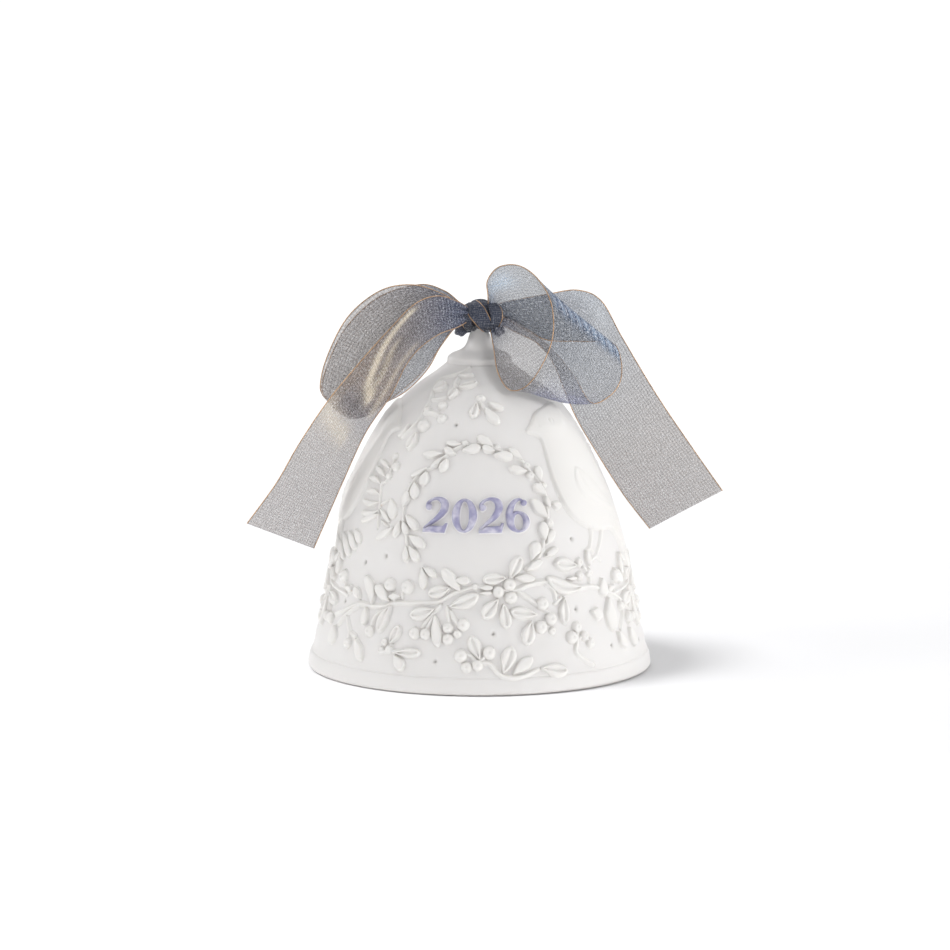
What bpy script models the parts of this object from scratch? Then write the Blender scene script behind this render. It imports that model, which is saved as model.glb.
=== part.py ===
"""Porcelain christmas bell with a tied organza bow, as an assembly of its separate pieces.

Frame: origin at the centre of the rim plane, on the bell's axis; +Z up, -Y is the face with
the year, +X to the right of that face. All constants below are millimetres and degrees.
"""

import math

import bpy
import numpy as np

MM = 0.001

# ---- bell body -------------------------------------------------------------------------
# Outer wall: (height, radius) of the turned profile, from the rim to the crown.
OUTER = [
    (0.9, 39.95), (3.6, 39.35), (4.2, 39.05), (8.0, 38.1), (13.0, 36.75), (20.0, 35.0),
    (28.0, 33.6), (35.0, 32.0), (42.0, 29.7), (48.0, 27.0), (54.0, 23.9), (59.0, 20.8),
    (63.0, 17.4), (66.5, 13.2), (69.0, 9.6), (70.7, 7.5),
]
WALL = 2.3
RIM_LAND = 2.6          # flat ring the bell stands on
INNER_TOP = 67.6        # height of the ceiling inside the crown
BELL_SEGMENTS = 52

# ---- crown and lug ---------------------------------------------------------------------
CROWN_FOOT = 71.0
EYE_Z = 79.0
EYE_R = 2.2
LUG_OUTER_R = 3.6
LUG_HALF = 1.9          # half thickness of the lug at the eye, along X

# ---- clapper train ---------------------------------------------------------------------
STAPLE_R, STAPLE_WIRE, STAPLE_Z = 2.0, 0.6, 62.2
LINK_R, LINK_WIRE = 2.2, 0.55
LINK_PIVOT = STAPLE_Z
CLAPPER_EYE_R, STEM_WIRE = 1.7, 0.5
RING_GAP = 0.14
BALL_R, BALL_Z, BALL_BORE = 6.0, 16.0, 0.9

# ---- relief ----------------------------------------------------------------------------
RELIEF_LIFT = 0.65      # height of the relief's mid layer above the wall
STEM_R = 0.36

# ---- ribbon ----------------------------------------------------------------------------
RIBBON_T = 0.5
EDGE_WIRE_R = 0.26
EDGE_INSET = 0.72


# ======================================================================================
# scene and materials
# ======================================================================================
def clear_scene():
    for obj in list(bpy.data.objects):
        bpy.data.objects.remove(obj, do_unlink=True)


def material(name, colour, rough, metallic=0.0, alpha=1.0):
    mat = bpy.data.materials.new(name)
    mat.use_nodes = True
    shader = mat.node_tree.nodes["Principled BSDF"]
    shader.inputs["Base Color"].default_value = (*colour, 1.0)
    shader.inputs["Roughness"].default_value = rough
    shader.inputs["Metallic"].default_value = metallic
    shader.inputs["Alpha"].default_value = alpha
    mat.diffuse_color = (*colour, 1.0)
    return mat


def make_object(name, verts, faces, mat, smooth=True):
    """A mesh object from points in millimetres."""
    mesh = bpy.data.meshes.new(name)
    mesh.from_pydata([tuple(c * MM for c in v) for v in verts], [], faces)
    mesh.validate()
    mesh.update()
    if smooth:
        mesh.shade_smooth()
        mesh.set_sharp_from_angle(angle=math.radians(40))
    mesh.materials.append(mat)
    obj = bpy.data.objects.new(name, mesh)
    bpy.context.scene.collection.objects.link(obj)
    return obj


def set_pivot(obj, pivot):
    """Moves the origin to pivot (mm) without moving the shape."""
    shift = np.array(pivot) * MM
    for v in obj.data.vertices:
        v.co = (v.co[0] - shift[0], v.co[1] - shift[1], v.co[2] - shift[2])
    obj.location = tuple(shift)


# ======================================================================================
# curves
# ======================================================================================
def spline(points, count, closed=False):
    """Catmull-Rom through the handles, spaced evenly by length."""
    p = np.array(points, float)
    if closed:
        p = np.vstack([p[-1], p, p[0], p[1]])
    else:
        p = np.vstack([2 * p[0] - p[1], p, 2 * p[-1] - p[-2]])
    dense = []
    for i in range(1, len(p) - 2):
        a, b, c, d = p[i - 1], p[i], p[i + 1], p[i + 2]
        for t in np.linspace(0, 1, 24, endpoint=False):
            dense.append(0.5 * (2 * b + (c - a) * t + (2 * a - 5 * b + 4 * c - d) * t * t
                                + (3 * b - a - 3 * c + d) * t ** 3))
    dense.append(p[-2])
    dense = np.array(dense)
    run = np.concatenate([[0], np.cumsum(np.linalg.norm(np.diff(dense, axis=0), axis=1))])
    marks = np.linspace(0, run[-1], count + 1 if closed else count)
    if closed:
        marks = marks[:-1]
    return np.stack([np.interp(marks, run, dense[:, k]) for k in range(dense.shape[1])], axis=1)


def unit(v):
    return v / np.linalg.norm(v)


def tube(points, radius, sides=6, closed=False, up=(0.0, 0.0, 1.0)):
    """A round bar along points. Ends are closed with a fan, or joined when closed."""
    p = np.array(points, float)
    n = len(p)
    radii = np.broadcast_to(np.array(radius, float), (n,))
    verts, faces = [], []
    frame = np.array(up, float)
    for i in range(n):
        if closed:
            along = unit(p[(i + 1) % n] - p[i - 1])
        else:
            along = unit(p[min(i + 1, n - 1)] - p[max(i - 1, 0)])
        if closed:
            side = unit(np.cross(along, up))
        else:
            side = np.cross(along, frame)
            if np.linalg.norm(side) < 1e-4:
                side = np.cross(along, (1.0, 0.2, 0.0))
            side = unit(side)
            frame = np.cross(side, along)
        other = np.cross(along, side)
        for k in range(sides):
            a = 2 * math.pi * k / sides
            verts.append(p[i] + radii[i] * (math.cos(a) * side + math.sin(a) * other))
    rings = n if closed else n - 1
    for i in range(rings):
        j = (i + 1) % n
        for k in range(sides):
            m = (k + 1) % sides
            faces.append((i * sides + k, i * sides + m, j * sides + m, j * sides + k))
    if not closed:
        first, last = len(verts), len(verts) + 1
        verts += [p[0], p[-1]]
        for k in range(sides):
            m = (k + 1) % sides
            faces.append((first, m, k))
            faces.append((last, (n - 1) * sides + k, (n - 1) * sides + m))
    return verts, faces


def ring(centre, radius, wire, plane, count=20, sides=8):
    """A closed wire ring whose circle lies in plane 'xz' or 'yz'."""
    pts, up = [], (0.0, 1.0, 0.0) if plane == "xz" else (1.0, 0.0, 0.0)
    for i in range(count):
        a = 2 * math.pi * i / count
        c, s = radius * math.cos(a), radius * math.sin(a)
        pts.append((centre[0] + c, centre[1], centre[2] + s) if plane == "xz"
                   else (centre[0], centre[1] + c, centre[2] + s))
    return tube(pts, wire, sides, closed=True, up=up)


def lathe(name, profile, segments, mat):
    """A solid turned about Z from a closed (radius, height) outline; radius 0 closes a pole."""
    verts, faces, rows = [], [], []
    for r, z in profile:
        if r < 1e-6:
            rows.append([len(verts)])
            verts.append((0.0, 0.0, z))
        else:
            rows.append(list(range(len(verts), len(verts) + segments)))
            for k in range(segments):
                a = 2 * math.pi * k / segments
                verts.append((r * math.cos(a), r * math.sin(a), z))
    for i, row in enumerate(rows):
        nxt = rows[(i + 1) % len(rows)]
        if len(row) == 1 and len(nxt) == 1:
            continue
        for k in range(segments):
            m = (k + 1) % segments
            if len(row) == 1:
                faces.append((row[0], nxt[m], nxt[k]))
            elif len(nxt) == 1:
                faces.append((row[k], row[m], nxt[0]))
            else:
                faces.append((row[k], row[m], nxt[m], nxt[k]))
    return make_object(name, verts, faces, mat)


def union(name, pieces, mat, pivot=None):
    """One solid from overlapping closed shells, by a Boolean union of each shell to the first."""
    helpers = bpy.data.collections.new(name + "_shells")
    bpy.context.scene.collection.children.link(helpers)
    base = make_object(name, *pieces[0], mat)
    for i, (verts, faces) in enumerate(pieces[1:]):
        helper = make_object(f"{name}_shell{i}", verts, faces, mat)
        helper.hide_render = True
        helper.display_type = "WIRE"
        bpy.context.scene.collection.objects.unlink(helper)
        helpers.objects.link(helper)
    if len(pieces) > 1:
        join = base.modifiers.new("join", "BOOLEAN")
        join.operation = "UNION"
        join.solver = "EXACT"
        join.operand_type = "COLLECTION"
        join.collection = helpers
        bpy.context.view_layer.update()
        graph = bpy.context.evaluated_depsgraph_get()
        joined = bpy.data.meshes.new_from_object(base.evaluated_get(graph))
        base.modifiers.remove(join)
        old = base.data
        base.data = joined
        joined.name = name
        bpy.data.meshes.remove(old)
        base.data.shade_smooth()
        base.data.set_sharp_from_angle(angle=math.radians(40))
    for helper in list(helpers.objects):
        bpy.data.objects.remove(helper, do_unlink=True)
    bpy.data.collections.remove(helpers)
    if pivot is not None:
        set_pivot(base, pivot)
    return base


# ======================================================================================
# the bell's wall as a surface: a point is (angle from the front, height), degrees and mm
# ======================================================================================
_Z = np.array([z for z, _ in OUTER])
_R = np.array([r for _, r in OUTER])
_SLOPE = np.gradient(_R, _Z)


def wall_radius(z):
    z = min(max(z, _Z[0]), _Z[-1])
    i = min(max(int(np.searchsorted(_Z, z)) - 1, 0), len(_Z) - 2)
    h = _Z[i + 1] - _Z[i]
    t = (z - _Z[i]) / h
    return ((2 * t ** 3 - 3 * t ** 2 + 1) * _R[i] + (t ** 3 - 2 * t ** 2 + t) * h * _SLOPE[i]
            + (3 * t ** 2 - 2 * t ** 3) * _R[i + 1] + (t ** 3 - t ** 2) * h * _SLOPE[i + 1])


def wall_slope(z):
    return (wall_radius(z + 0.2) - wall_radius(z - 0.2)) / 0.4


def on_wall(angle, z, lift):
    """World point, lift mm out along the wall's normal."""
    slope = wall_slope(z)
    k = 1 / math.hypot(1, slope)
    r, h = wall_radius(z) + lift * k, z - lift * slope * k
    a = math.radians(angle)
    return np.array([r * math.sin(a), -r * math.cos(a), h])


def local_map(angle, z, direction):
    """A map from (along, across, lift) mm at a wall point to the world; direction 0 runs
    round the wall towards +angle and 90 runs up it."""
    c, s = math.cos(math.radians(direction)), math.sin(math.radians(direction))
    k = 1 / math.hypot(1, wall_slope(z))

    def place(along, across, lift):
        level, rise = along * c - across * s, along * s + across * c
        height = z + rise * k
        return on_wall(angle + math.degrees(level / wall_radius(height)), height, lift)
    return place


def span(a, b):
    """(direction, length) on the wall from a to b."""
    mid = wall_radius((a[1] + b[1]) / 2)
    k = 1 / math.hypot(1, wall_slope((a[1] + b[1]) / 2))
    du, dv = math.radians(b[0] - a[0]) * mid, (b[1] - a[1]) / k
    return math.degrees(math.atan2(dv, du)), math.hypot(du, dv)


def petal(base, tip, width=2.3, thick=0.38, sides=5, rings=2, lift=RELIEF_LIFT):
    """A plump leaf from base to tip, both (angle, height)."""
    direction, length = span(base, tip)
    place = local_map(base[0], base[1], direction)
    verts, faces = [place(0, 0, lift)], []
    for i in range(1, rings + 1):
        t = i / (rings + 1)
        half = 0.5 * width * math.sin(math.pi * t ** 0.85) ** 0.7
        deep = thick * math.sin(math.pi * t) ** 0.5
        for k in range(sides):
            a = 2 * math.pi * k / sides
            verts.append(place(t * length, half * math.cos(a), lift + deep * math.sin(a)))
    verts.append(place(length, 0, lift))
    for k in range(sides):
        m = (k + 1) % sides
        faces.append((0, 1 + k, 1 + m))
        for i in range(rings - 1):
            p, q = 1 + i * sides, 1 + (i + 1) * sides
            faces.append((p + k, q + k, q + m, p + m))
        last = 1 + (rings - 1) * sides
        faces.append((last + k, len(verts) - 1, last + m))
    return verts, faces


def berry(at, r=1.25, sides=5):
    """A round berry, flattened on its wall side."""
    place = local_map(at[0], at[1], 10)
    verts, faces = [place(0, 0, RELIEF_LIFT - 0.42)], []
    rings = [(-0.22, 0.85), (0.28, 0.95)]
    for h, w in rings:
        for k in range(sides):
            a = 2 * math.pi * (k + 0.5) / sides
            verts.append(place(r * w * math.cos(a), r * w * math.sin(a), RELIEF_LIFT + 0.1 + h))
    verts.append(place(0, 0, RELIEF_LIFT + 0.78))
    for k in range(sides):
        m = (k + 1) % sides
        faces.append((0, 1 + m, 1 + k))
        for i in range(len(rings) - 1):
            p, q = 1 + i * sides, 1 + (i + 1) * sides
            faces.append((p + k, p + m, q + m, q + k))
        last = 1 + (len(rings) - 1) * sides
        faces.append((last + k, last + m, len(verts) - 1))
    return verts, faces


def stem(path, count=None, radius=STEM_R, closed=False):
    flat = spline(path, count or 2 * len(path), closed)
    pts = [on_wall(a, z, RELIEF_LIFT) for a, z in flat]
    mid = flat[len(flat) // 2]
    up = on_wall(mid[0], mid[1], 5.0) - on_wall(mid[0], mid[1], 0.0)
    if closed:
        return tube(pts, radius, 4, True, up=tuple(unit(up)))
    return tube(pts, radius, 4, up=tuple(unit(up)))


def sprig(name, mat, stems, leaves=(), berries=()):
    """One applied relief piece: stems carry leaves (base, tip) and berries."""
    pieces = [stem(s) for s in stems]
    pieces += [petal(*leaf) for leaf in leaves]
    pieces += [berry(b) for b in berries]
    return union(name, pieces, mat)


def garland(name, mat, start, end, z0, wave=1.2, pairs=7):
    """A running garland by rule: a wavy stem with alternating leaf pairs and berries."""
    turns = np.linspace(start, end, 2 * pairs + 1)

    def height(a):
        return z0 + wave * math.sin(math.radians((a - start) * 9))
    path = [(a, height(a)) for a in turns]
    leaves, berries = [], []
    for i, a in enumerate(turns[1:-1]):
        z, way = height(a), 1 if i % 2 else -1
        leaves.append(((a, z), (a + 4.5, z + way * 5.0), 2.3))
        if i % 2:
            berries.append((a - 0.5, z - way * 0.9))
        else:
            leaves.append(((a, z), (a + 6.0, z - way * 3.4), 2.1))
    return sprig(name, mat, [path], leaves, berries)


def blob(outline, lift=0.35, edge=0.75, crown=1.25):
    """A low rounded plate on the wall with the given (angle, height) outline."""
    rim = spline(outline, len(outline), closed=True)
    centre = rim.mean(axis=0)
    n = len(rim)
    verts = [on_wall(a, z, lift) for a, z in rim]
    verts += [on_wall(a, z, edge) for a, z in rim]
    inner = [(a * 0.55 + centre[0] * 0.45, z * 0.55 + centre[1] * 0.45) for a, z in rim]
    verts += [on_wall(a, z, crown) for a, z in inner]
    verts += [on_wall(a, z, lift) for a, z in inner]
    verts += [on_wall(*centre, crown + 0.15), on_wall(*centre, lift)]
    faces = []
    for i in range(n):
        j = (i + 1) % n
        faces.append((i, j, n + j, n + i))
        faces.append((n + i, n + j, 2 * n + j, 2 * n + i))
        faces.append((2 * n + i, 2 * n + j, 4 * n))
        faces.append((j, i, 3 * n + i, 3 * n + j))
        faces.append((3 * n + j, 3 * n + i, 4 * n + 1))
    area = sum(rim[i][0] * rim[(i + 1) % n][1] - rim[(i + 1) % n][0] * rim[i][1] for i in range(n))
    if area < 0:
        faces = [f[::-1] for f in faces]
    return verts, faces


def stroke(path, widths, closed=False, count=18, low=0.35, high=1.05):
    """A raised pen stroke on the wall: path in (across, up) mm about a figure's centre."""
    angle, z = stroke.centre
    place = local_map(angle, z, 0)
    line = spline([(x, y, w) for (x, y), w in zip(path, widths)], count, closed)
    n = len(line)
    verts = []
    for i in range(n):
        if closed:
            along = unit(line[(i + 1) % n, :2] - line[i - 1, :2])
        else:
            along = unit(line[min(i + 1, n - 1), :2] - line[max(i - 1, 0), :2])
        side = np.array([-along[1], along[0]]) * line[i, 2] / 2
        left, right = line[i, :2] + side, line[i, :2] - side
        verts += [place(*left, low), place(*right, low), place(*right, high), place(*left, high)]
    faces = []
    for i in range(n if closed else n - 1):
        j = (i + 1) % n
        for k in range(4):
            m = (k + 1) % 4
            faces.append((4 * i + m, 4 * i + k, 4 * j + k, 4 * j + m))
    if not closed:
        faces.append((0, 1, 2, 3))
        faces.append((4 * n - 1, 4 * n - 2, 4 * n - 3, 4 * n - 4))
    return verts, faces


def figure(name, mat, angle, strokes):
    stroke.centre = (angle, 40.3)
    return union(name, [stroke(*s) for s in strokes], mat)


# ======================================================================================
# ribbon
# ======================================================================================
def strip(name, mat, edge_a, edge_b, count, bulge=0.0, pivot=None):
    """A ribbon solid between two edge curves, RIBBON_T thick, arched by bulge mm."""
    a, b = spline(edge_a, count), spline(edge_b, count)
    across = [0.0, 1 / 3, 2 / 3, 1.0]
    grid = np.zeros((count, len(across), 3))
    for i in range(count):
        over = unit(b[i] - a[i])
        ends = []
        for edge, way in ((a, over), (b, -over)):
            along = unit(edge[min(i + 1, count - 1)] - edge[max(i - 1, 0)])
            square = max(0.4, np.linalg.norm(np.cross(along, over)))
            ends.append(edge[i] + way * EDGE_INSET / square)
        for k, t in enumerate(across):
            grid[i, k] = ends[0] * (1 - t) + ends[1] * t
    normal = np.zeros_like(grid)
    for i in range(count):
        along = grid[min(i + 1, count - 1)] - grid[max(i - 1, 0)]
        for k in range(len(across)):
            over = grid[i, min(k + 1, 3)] - grid[i, max(k - 1, 0)]
            normal[i, k] = unit(np.cross(along[k], over))
    swell = np.array([0.0, 1.0, 1.0, 0.0])[None, :, None] * bulge
    ends = np.sin(np.linspace(0, math.pi, count)) ** 0.5
    grid = grid + normal * swell * ends[:, None, None]
    top, low = grid + normal * RIBBON_T / 2, grid - normal * RIBBON_T / 2
    w = len(across)
    verts = [*top.reshape(-1, 3), *low.reshape(-1, 3)]
    off = count * w
    faces = []
    for i in range(count - 1):
        for k in range(w - 1):
            p, q, r, s = i * w + k, (i + 1) * w + k, (i + 1) * w + k + 1, i * w + k + 1
            faces.append((p, q, r, s))
            faces.append((off + s, off + r, off + q, off + p))
        for k in (0, w - 1):
            p, q = i * w + k, (i + 1) * w + k
            faces.append((p, off + p, off + q, q) if k == 0 else (q, off + q, off + p, p))
    for i in (0, count - 1):
        for k in range(w - 1):
            p, q = i * w + k, i * w + k + 1
            faces.append((q, off + q, off + p, p) if i == 0 else (p, off + p, off + q, q))
    obj = make_object(name, verts, faces, mat)
    if pivot is not None:
        set_pivot(obj, pivot)
    return obj


def edge_wire(name, mat, edge, count, pivot=None):
    obj = make_object(name, *tube(spline(edge, count), EDGE_WIRE_R, 4), mat)
    if pivot is not None:
        set_pivot(obj, pivot)
    return obj


# ======================================================================================
# build
# ======================================================================================
clear_scene()
PORCELAIN = material("bisque_porcelain", (0.86, 0.85, 0.83), 0.62)
RELIEF = material("bisque_relief", (0.88, 0.87, 0.85), 0.6)
LILAC = material("lilac_bisque", (0.52, 0.52, 0.68), 0.6)
STEEL = material("steel_wire", (0.62, 0.62, 0.64), 0.3, 1.0)
BALL = material("glazed_ball", (0.9, 0.89, 0.87), 0.2)
ORGANZA = material("organza", (0.36, 0.4, 0.5), 0.5, 0.1, 0.8)
KNOT = material("organza_knot", (0.06, 0.09, 0.15), 0.5)
SELVEDGE = material("copper_selvedge", (0.62, 0.38, 0.22), 0.35, 0.8)


# -- bell shell: outer wall, crown top, ceiling, inner wall, rim land --
def bell_profile():
    outline = [(39.6, 0.0), (39.95, 0.9)]
    for z in [3.4, 3.95, 4.5, *np.linspace(8.0, 66.5, 14), 69.0]:
        outline.append((wall_radius(z), float(z)))
    outline += [(7.5, 70.7), (0.0, 70.7), (0.0, INNER_TOP), (5.2, INNER_TOP)]
    for z in [65.6, 62.5, 58.0, 51.0, 42.0, 31.0, 18.0, 6.0, 1.2]:
        drop = WALL * math.hypot(1, wall_slope(z))
        outline.append((wall_radius(z) - min(drop, 3.4), z))
    outline.append((39.6 - RIM_LAND, 0.0))
    return outline


lathe("bell_shell", bell_profile(), BELL_SEGMENTS, PORCELAIN)


# -- crown: shoulder ring turned, with the lug standing on it and the eye bored along X --
def crown_with_lug():
    ring_profile = [(0.0, CROWN_FOOT), (7.1, CROWN_FOOT), (7.35, 71.5), (7.1, 72.3),
                    (6.3, 73.2), (5.0, 73.9), (0.0, 74.2)]
    crown = lathe("crown_lug", ring_profile[::-1][::-1], 32, PORCELAIN)
    side = []          # (y, z) outline of the lug seen along X
    for a in np.linspace(0, math.pi, 15):
        side.append((LUG_OUTER_R * math.cos(a), EYE_Z + LUG_OUTER_R * math.sin(a)))
    side = [(4.6, 73.2), (4.1, 75.0), (3.75, 77.0), *side, (-3.75, 77.0), (-4.1, 75.0), (-4.6, 73.2)]
    verts, faces, n = [], [], len(side)
    for sign in (-1, 1):
        for y, z in side:
            half = LUG_HALF + max(0.0, (78.9 - z) / 5.7) ** 1.3 * 2.1
            verts.append((sign * half, y, z))
    for i in range(n):
        j = (i + 1) % n
        faces.append((i, n + i, n + j, j))
    faces.append(tuple(range(n)))
    faces.append(tuple(range(2 * n - 1, n - 1, -1)))
    lug = make_object("lug_blank", verts, faces, PORCELAIN)
    bore = make_object("eye_cutter", *tube([(-6, 0, EYE_Z), (6, 0, EYE_Z)], EYE_R, 24), PORCELAIN)
    for helper in (lug, bore):
        helper.hide_render = True
        helper.display_type = "WIRE"
    for helper, operation in ((lug, "UNION"), (bore, "DIFFERENCE")):
        cut = crown.modifiers.new(helper.name, "BOOLEAN")
        cut.operation = operation
        cut.solver = "EXACT"
        cut.object = helper


crown_with_lug()

# -- clapper train --
LINK_C = STAPLE_Z + STAPLE_WIRE + LINK_WIRE + RING_GAP - LINK_R
CLAPPER_PIVOT = LINK_C - LINK_R
EYE_C = CLAPPER_PIVOT + LINK_WIRE + STEM_WIRE + RING_GAP - CLAPPER_EYE_R
arch = [(STAPLE_R * math.cos(a), 0.0, STAPLE_Z + STAPLE_R + STAPLE_R * math.sin(a))
        for a in np.linspace(math.pi, 2 * math.pi, 11)]
staple_path = [(-STAPLE_R, 0.0, INNER_TOP - 0.3), *arch, (STAPLE_R, 0.0, INNER_TOP - 0.3)]
make_object("clapper_staple", *tube(staple_path, STAPLE_WIRE, 8, up=(0.0, 1.0, 0.0)), STEEL)
link = make_object("clapper_link", *ring((0, 0, LINK_C), LINK_R, LINK_WIRE, "yz"), STEEL)
set_pivot(link, (0, 0, LINK_PIVOT))
stem_bar = tube([(0, 0, EYE_C - CLAPPER_EYE_R + 0.1), (0, 0, BALL_Z + 10), (0, 0, 6.6)],
                STEM_WIRE, 8, up=(0.0, 1.0, 0.0))
union("clapper_stem", [ring((0, 0, EYE_C), CLAPPER_EYE_R, STEM_WIRE, "xz"), stem_bar], STEEL,
      pivot=(0, 0, CLAPPER_PIVOT))
ball_profile = [(BALL_BORE, BALL_Z - BALL_R + 0.1)]
for a in np.linspace(-75, 75, 11):
    ball_profile.append((BALL_R * math.cos(math.radians(a)), BALL_Z + BALL_R * math.sin(math.radians(a))))
ball_profile.append((BALL_BORE, BALL_Z + BALL_R - 0.1))
set_pivot(lathe("clapper_ball", ball_profile, 22, BALL), (0, 0, CLAPPER_PIVOT))
crimp_profile = [(0.72, 8.0), (1.3, 8.0), (1.55, 8.6), (1.3, 9.6), (0.72, 9.6)]
set_pivot(lathe("clapper_end_crimp", crimp_profile, 14, STEEL), (0, 0, CLAPPER_PIVOT))

# -- numerals: strokes as (path, widths, closed) in mm about each figure's centre --
TWO = [
    ([(-2.1, 2.3), (-1.5, 3.6), (0.3, 4.1), (1.8, 3.0), (1.7, 1.2), (0.2, -0.8), (-1.9, -3.2)],
     [1.5, 1.0, 1.0, 1.7, 1.6, 1.1, 0.9]),
    ([(-2.4, -3.5), (0.0, -3.5), (2.5, -3.3)], [1.4, 1.5, 1.6]),
]
ZERO = [([(0.0, 3.9), (-1.9, 2.3), (-2.2, 0.0), (-1.9, -2.3), (0.0, -3.9), (1.9, -2.3), (2.2, 0.0),
          (1.9, 2.3)], [0.9, 1.5, 1.8, 1.5, 0.9, 1.5, 1.8, 1.5], True)]
SIX = [
    ([(1.9, 3.6), (0.2, 3.3), (-1.4, 1.8), (-2.1, -0.6), (-1.8, -2.0)], [0.8, 1.1, 1.4, 1.7, 1.5]),
    ([(0.1, 0.6), (-1.6, -0.4), (-1.8, -1.9), (-1.1, -3.3), (0.1, -3.9), (1.4, -3.2), (2.1, -1.7),
      (1.6, -0.2)], [0.9, 1.2, 1.6, 1.2, 0.9, 1.2, 1.7, 1.3], True),
]
figure("numeral_two_first", LILAC, -19.0, TWO)
figure("numeral_zero", LILAC, -7.2, ZERO)
figure("numeral_two_second", LILAC, 4.6, TWO)
figure("numeral_six", LILAC, 16.4, SIX)


# -- wreath of leaves round the year, open at the bottom where the garland closes it --
WREATH = (-1.0, 39.8)
WREATH_R = 16.6


def wreath_point(turn):
    """(angle, height) on the wreath; turn runs anticlockwise from the right, in degrees."""
    z = WREATH[1] + WREATH_R * math.sin(math.radians(turn)) * 0.93
    reach = (wall_radius(WREATH[1]) + wall_radius(z)) / 2
    return WREATH[0] + math.degrees(WREATH_R * math.cos(math.radians(turn)) / reach), z


def wreath(first=-28.0, last=208.0, count=24):
    turns = np.linspace(first, last, count + 2)
    pieces = [stem([wreath_point(t) for t in turns[:-1]], 26, 0.3)]
    for i in range(count):
        at, ahead = np.array(wreath_point(turns[i])), np.array(wreath_point(turns[i + 2]))
        out = (at - WREATH) * (0.10 if i % 2 else -0.10)
        pieces.append(petal(tuple(at), tuple(at + 0.8 * (ahead - at) + out), 1.9))
    return union("wreath", pieces, RELIEF)


wreath()

# -- garland across the lower front, in two pieces that meet under the year --
sprig("garland_front_left", RELIEF,
      [[(-53, 18.2), (-46, 18.8), (-39, 19.8), (-32, 20.5), (-25, 20.7), (-19, 21.0), (-14, 22.3),
        (-9, 23.4), (-4.5, 23.8)],
       [(-36.5, 20.0), (-36, 23.6)], [(-28, 20.6), (-29, 23.8)],
       [(-19, 21.0), (-16, 17.6), (-13, 15.6), (-9, 15.4)], [(-16, 17.6), (-19, 14.6), (-23.5, 14.0)],
       [(-11, 15.5), (-11, 13.6)]],
      [((-50, 18.4), (-57, 25.0), 2.4), ((-46, 18.8), (-50, 26.0), 2.4), ((-43, 19.0), (-38, 13.2), 2.4),
       ((-21, 20.9), (-25, 27.8), 2.4), ((-19, 21.0), (-17.5, 29.6), 2.4), ((-16, 21.8), (-11, 28.0), 2.4),
       ((-10, 23.2), (-6, 28.8), 2.4), ((-26, 20.6), (-20.5, 16.6), 2.6), ((-9, 23.3), (-1.5, 19.2), 2.8),
       ((-17, 16.6), (-16, 11.4), 2.3)],
      [(-36, 24.1), (-29, 24.3), (-24, 13.9), (-20, 14.1), (-11, 15.6), (-11, 13.0), (-8, 15.8)])
sprig("garland_front_right", RELIEF,
      [[(-2.0, 24.4), (5, 24.8), (12, 25.2), (19, 25.4), (28, 24.6), (38, 23.8), (48, 24.4), (57, 25.2)],
       [(18, 25.2), (22, 21.4), (24, 17.5), (26, 14.8)], [(41, 24.0), (43, 28.2)]],
      [((9, 25.0), (3, 29.0), 2.3), ((13, 25.3), (14, 32.0), 2.3), ((17, 25.4), (21, 29.2), 2.3),
       ((7, 24.9), (2, 17.8), 2.4), ((10, 25.0), (9, 16.6), 2.4), ((14, 25.2), (17.5, 17.0), 2.6),
       ((19, 24.6), (16, 12.0), 2.4), ((22, 21.4), (34.5, 17.0), 2.4), ((27, 24.7), (33.5, 31.0), 2.4),
       ((31, 24.3), (39, 30.0), 2.3)],
      [(12, 22.9), (7.2, 23.4), (24, 20.0), (26, 16.6), (23, 15.6), (27, 14.2), (43, 28.6), (46, 25.4),
       (41, 26.2)])
garland("garland_right", RELIEF, 63.0, 118.0, 22.0, pairs=4)
garland("garland_back", RELIEF, 124.0, 232.0, 21.5, pairs=7)
garland("garland_left", RELIEF, 238.0, 300.0, 21.5, pairs=4)

# -- small sprigs --
sprig("sprig_top_left", RELIEF,
      [[(-38, 67.6), (-38.5, 65.5), (-40, 62.6), (-42, 59.0), (-43, 55.6), (-46, 52.4)],
       [(-40, 62.8), (-30, 62.2)]],
      [((-38.5, 66.5), (-20, 65.2), 1.9), ((-39, 65.0), (-24, 67.4), 1.7), ((-42, 60.0), (-52, 56.6), 2.0),
       ((-42, 59.0), (-35, 56.8), 2.0), ((-43.5, 55.0), (-37, 52.6), 2.0)],
      [(-29, 62.6), (-28, 61.0), (-38.6, 60.6)])
sprig("sprig_top_centre", RELIEF, [[(0, 66.0), (0.5, 63.4), (3, 60.4), (5, 58.6)]],
      [((0, 65.5), (-10, 61.0), 2.1), ((1, 62.6), (13, 59.8), 2.1)], [(0, 66.2)])
sprig("sprig_bottom", RELIEF,
      [[(-7, 9.0), (-2, 9.6), (3, 9.2), (9, 8.0), (14, 6.6)], [(2, 9.3), (3, 11.2)]],
      [((-4, 9.4), (-3, 14.2), 2.2), ((5, 9.0), (9.5, 12.6), 2.2), ((10, 7.8), (17, 9.4), 2.2),
       ((12, 7.2), (20, 5.8), 2.1)],
      [(-7, 10.2), (-5.0, 8.2), (-1, 8.4), (3, 11.0)])
sprig("sprig_lower_left", RELIEF,
      [[(-37, 11.6), (-32, 11.4), (-27, 10.2), (-22, 9.0)]],
      [((-34, 11.5), (-30, 16.0), 2.3), ((-29, 10.8), (-22, 12.0), 2.3), ((-29, 10.6), (-25, 6.6), 2.2)],
      [(-34, 10.0), (-37, 10.8)])
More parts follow.
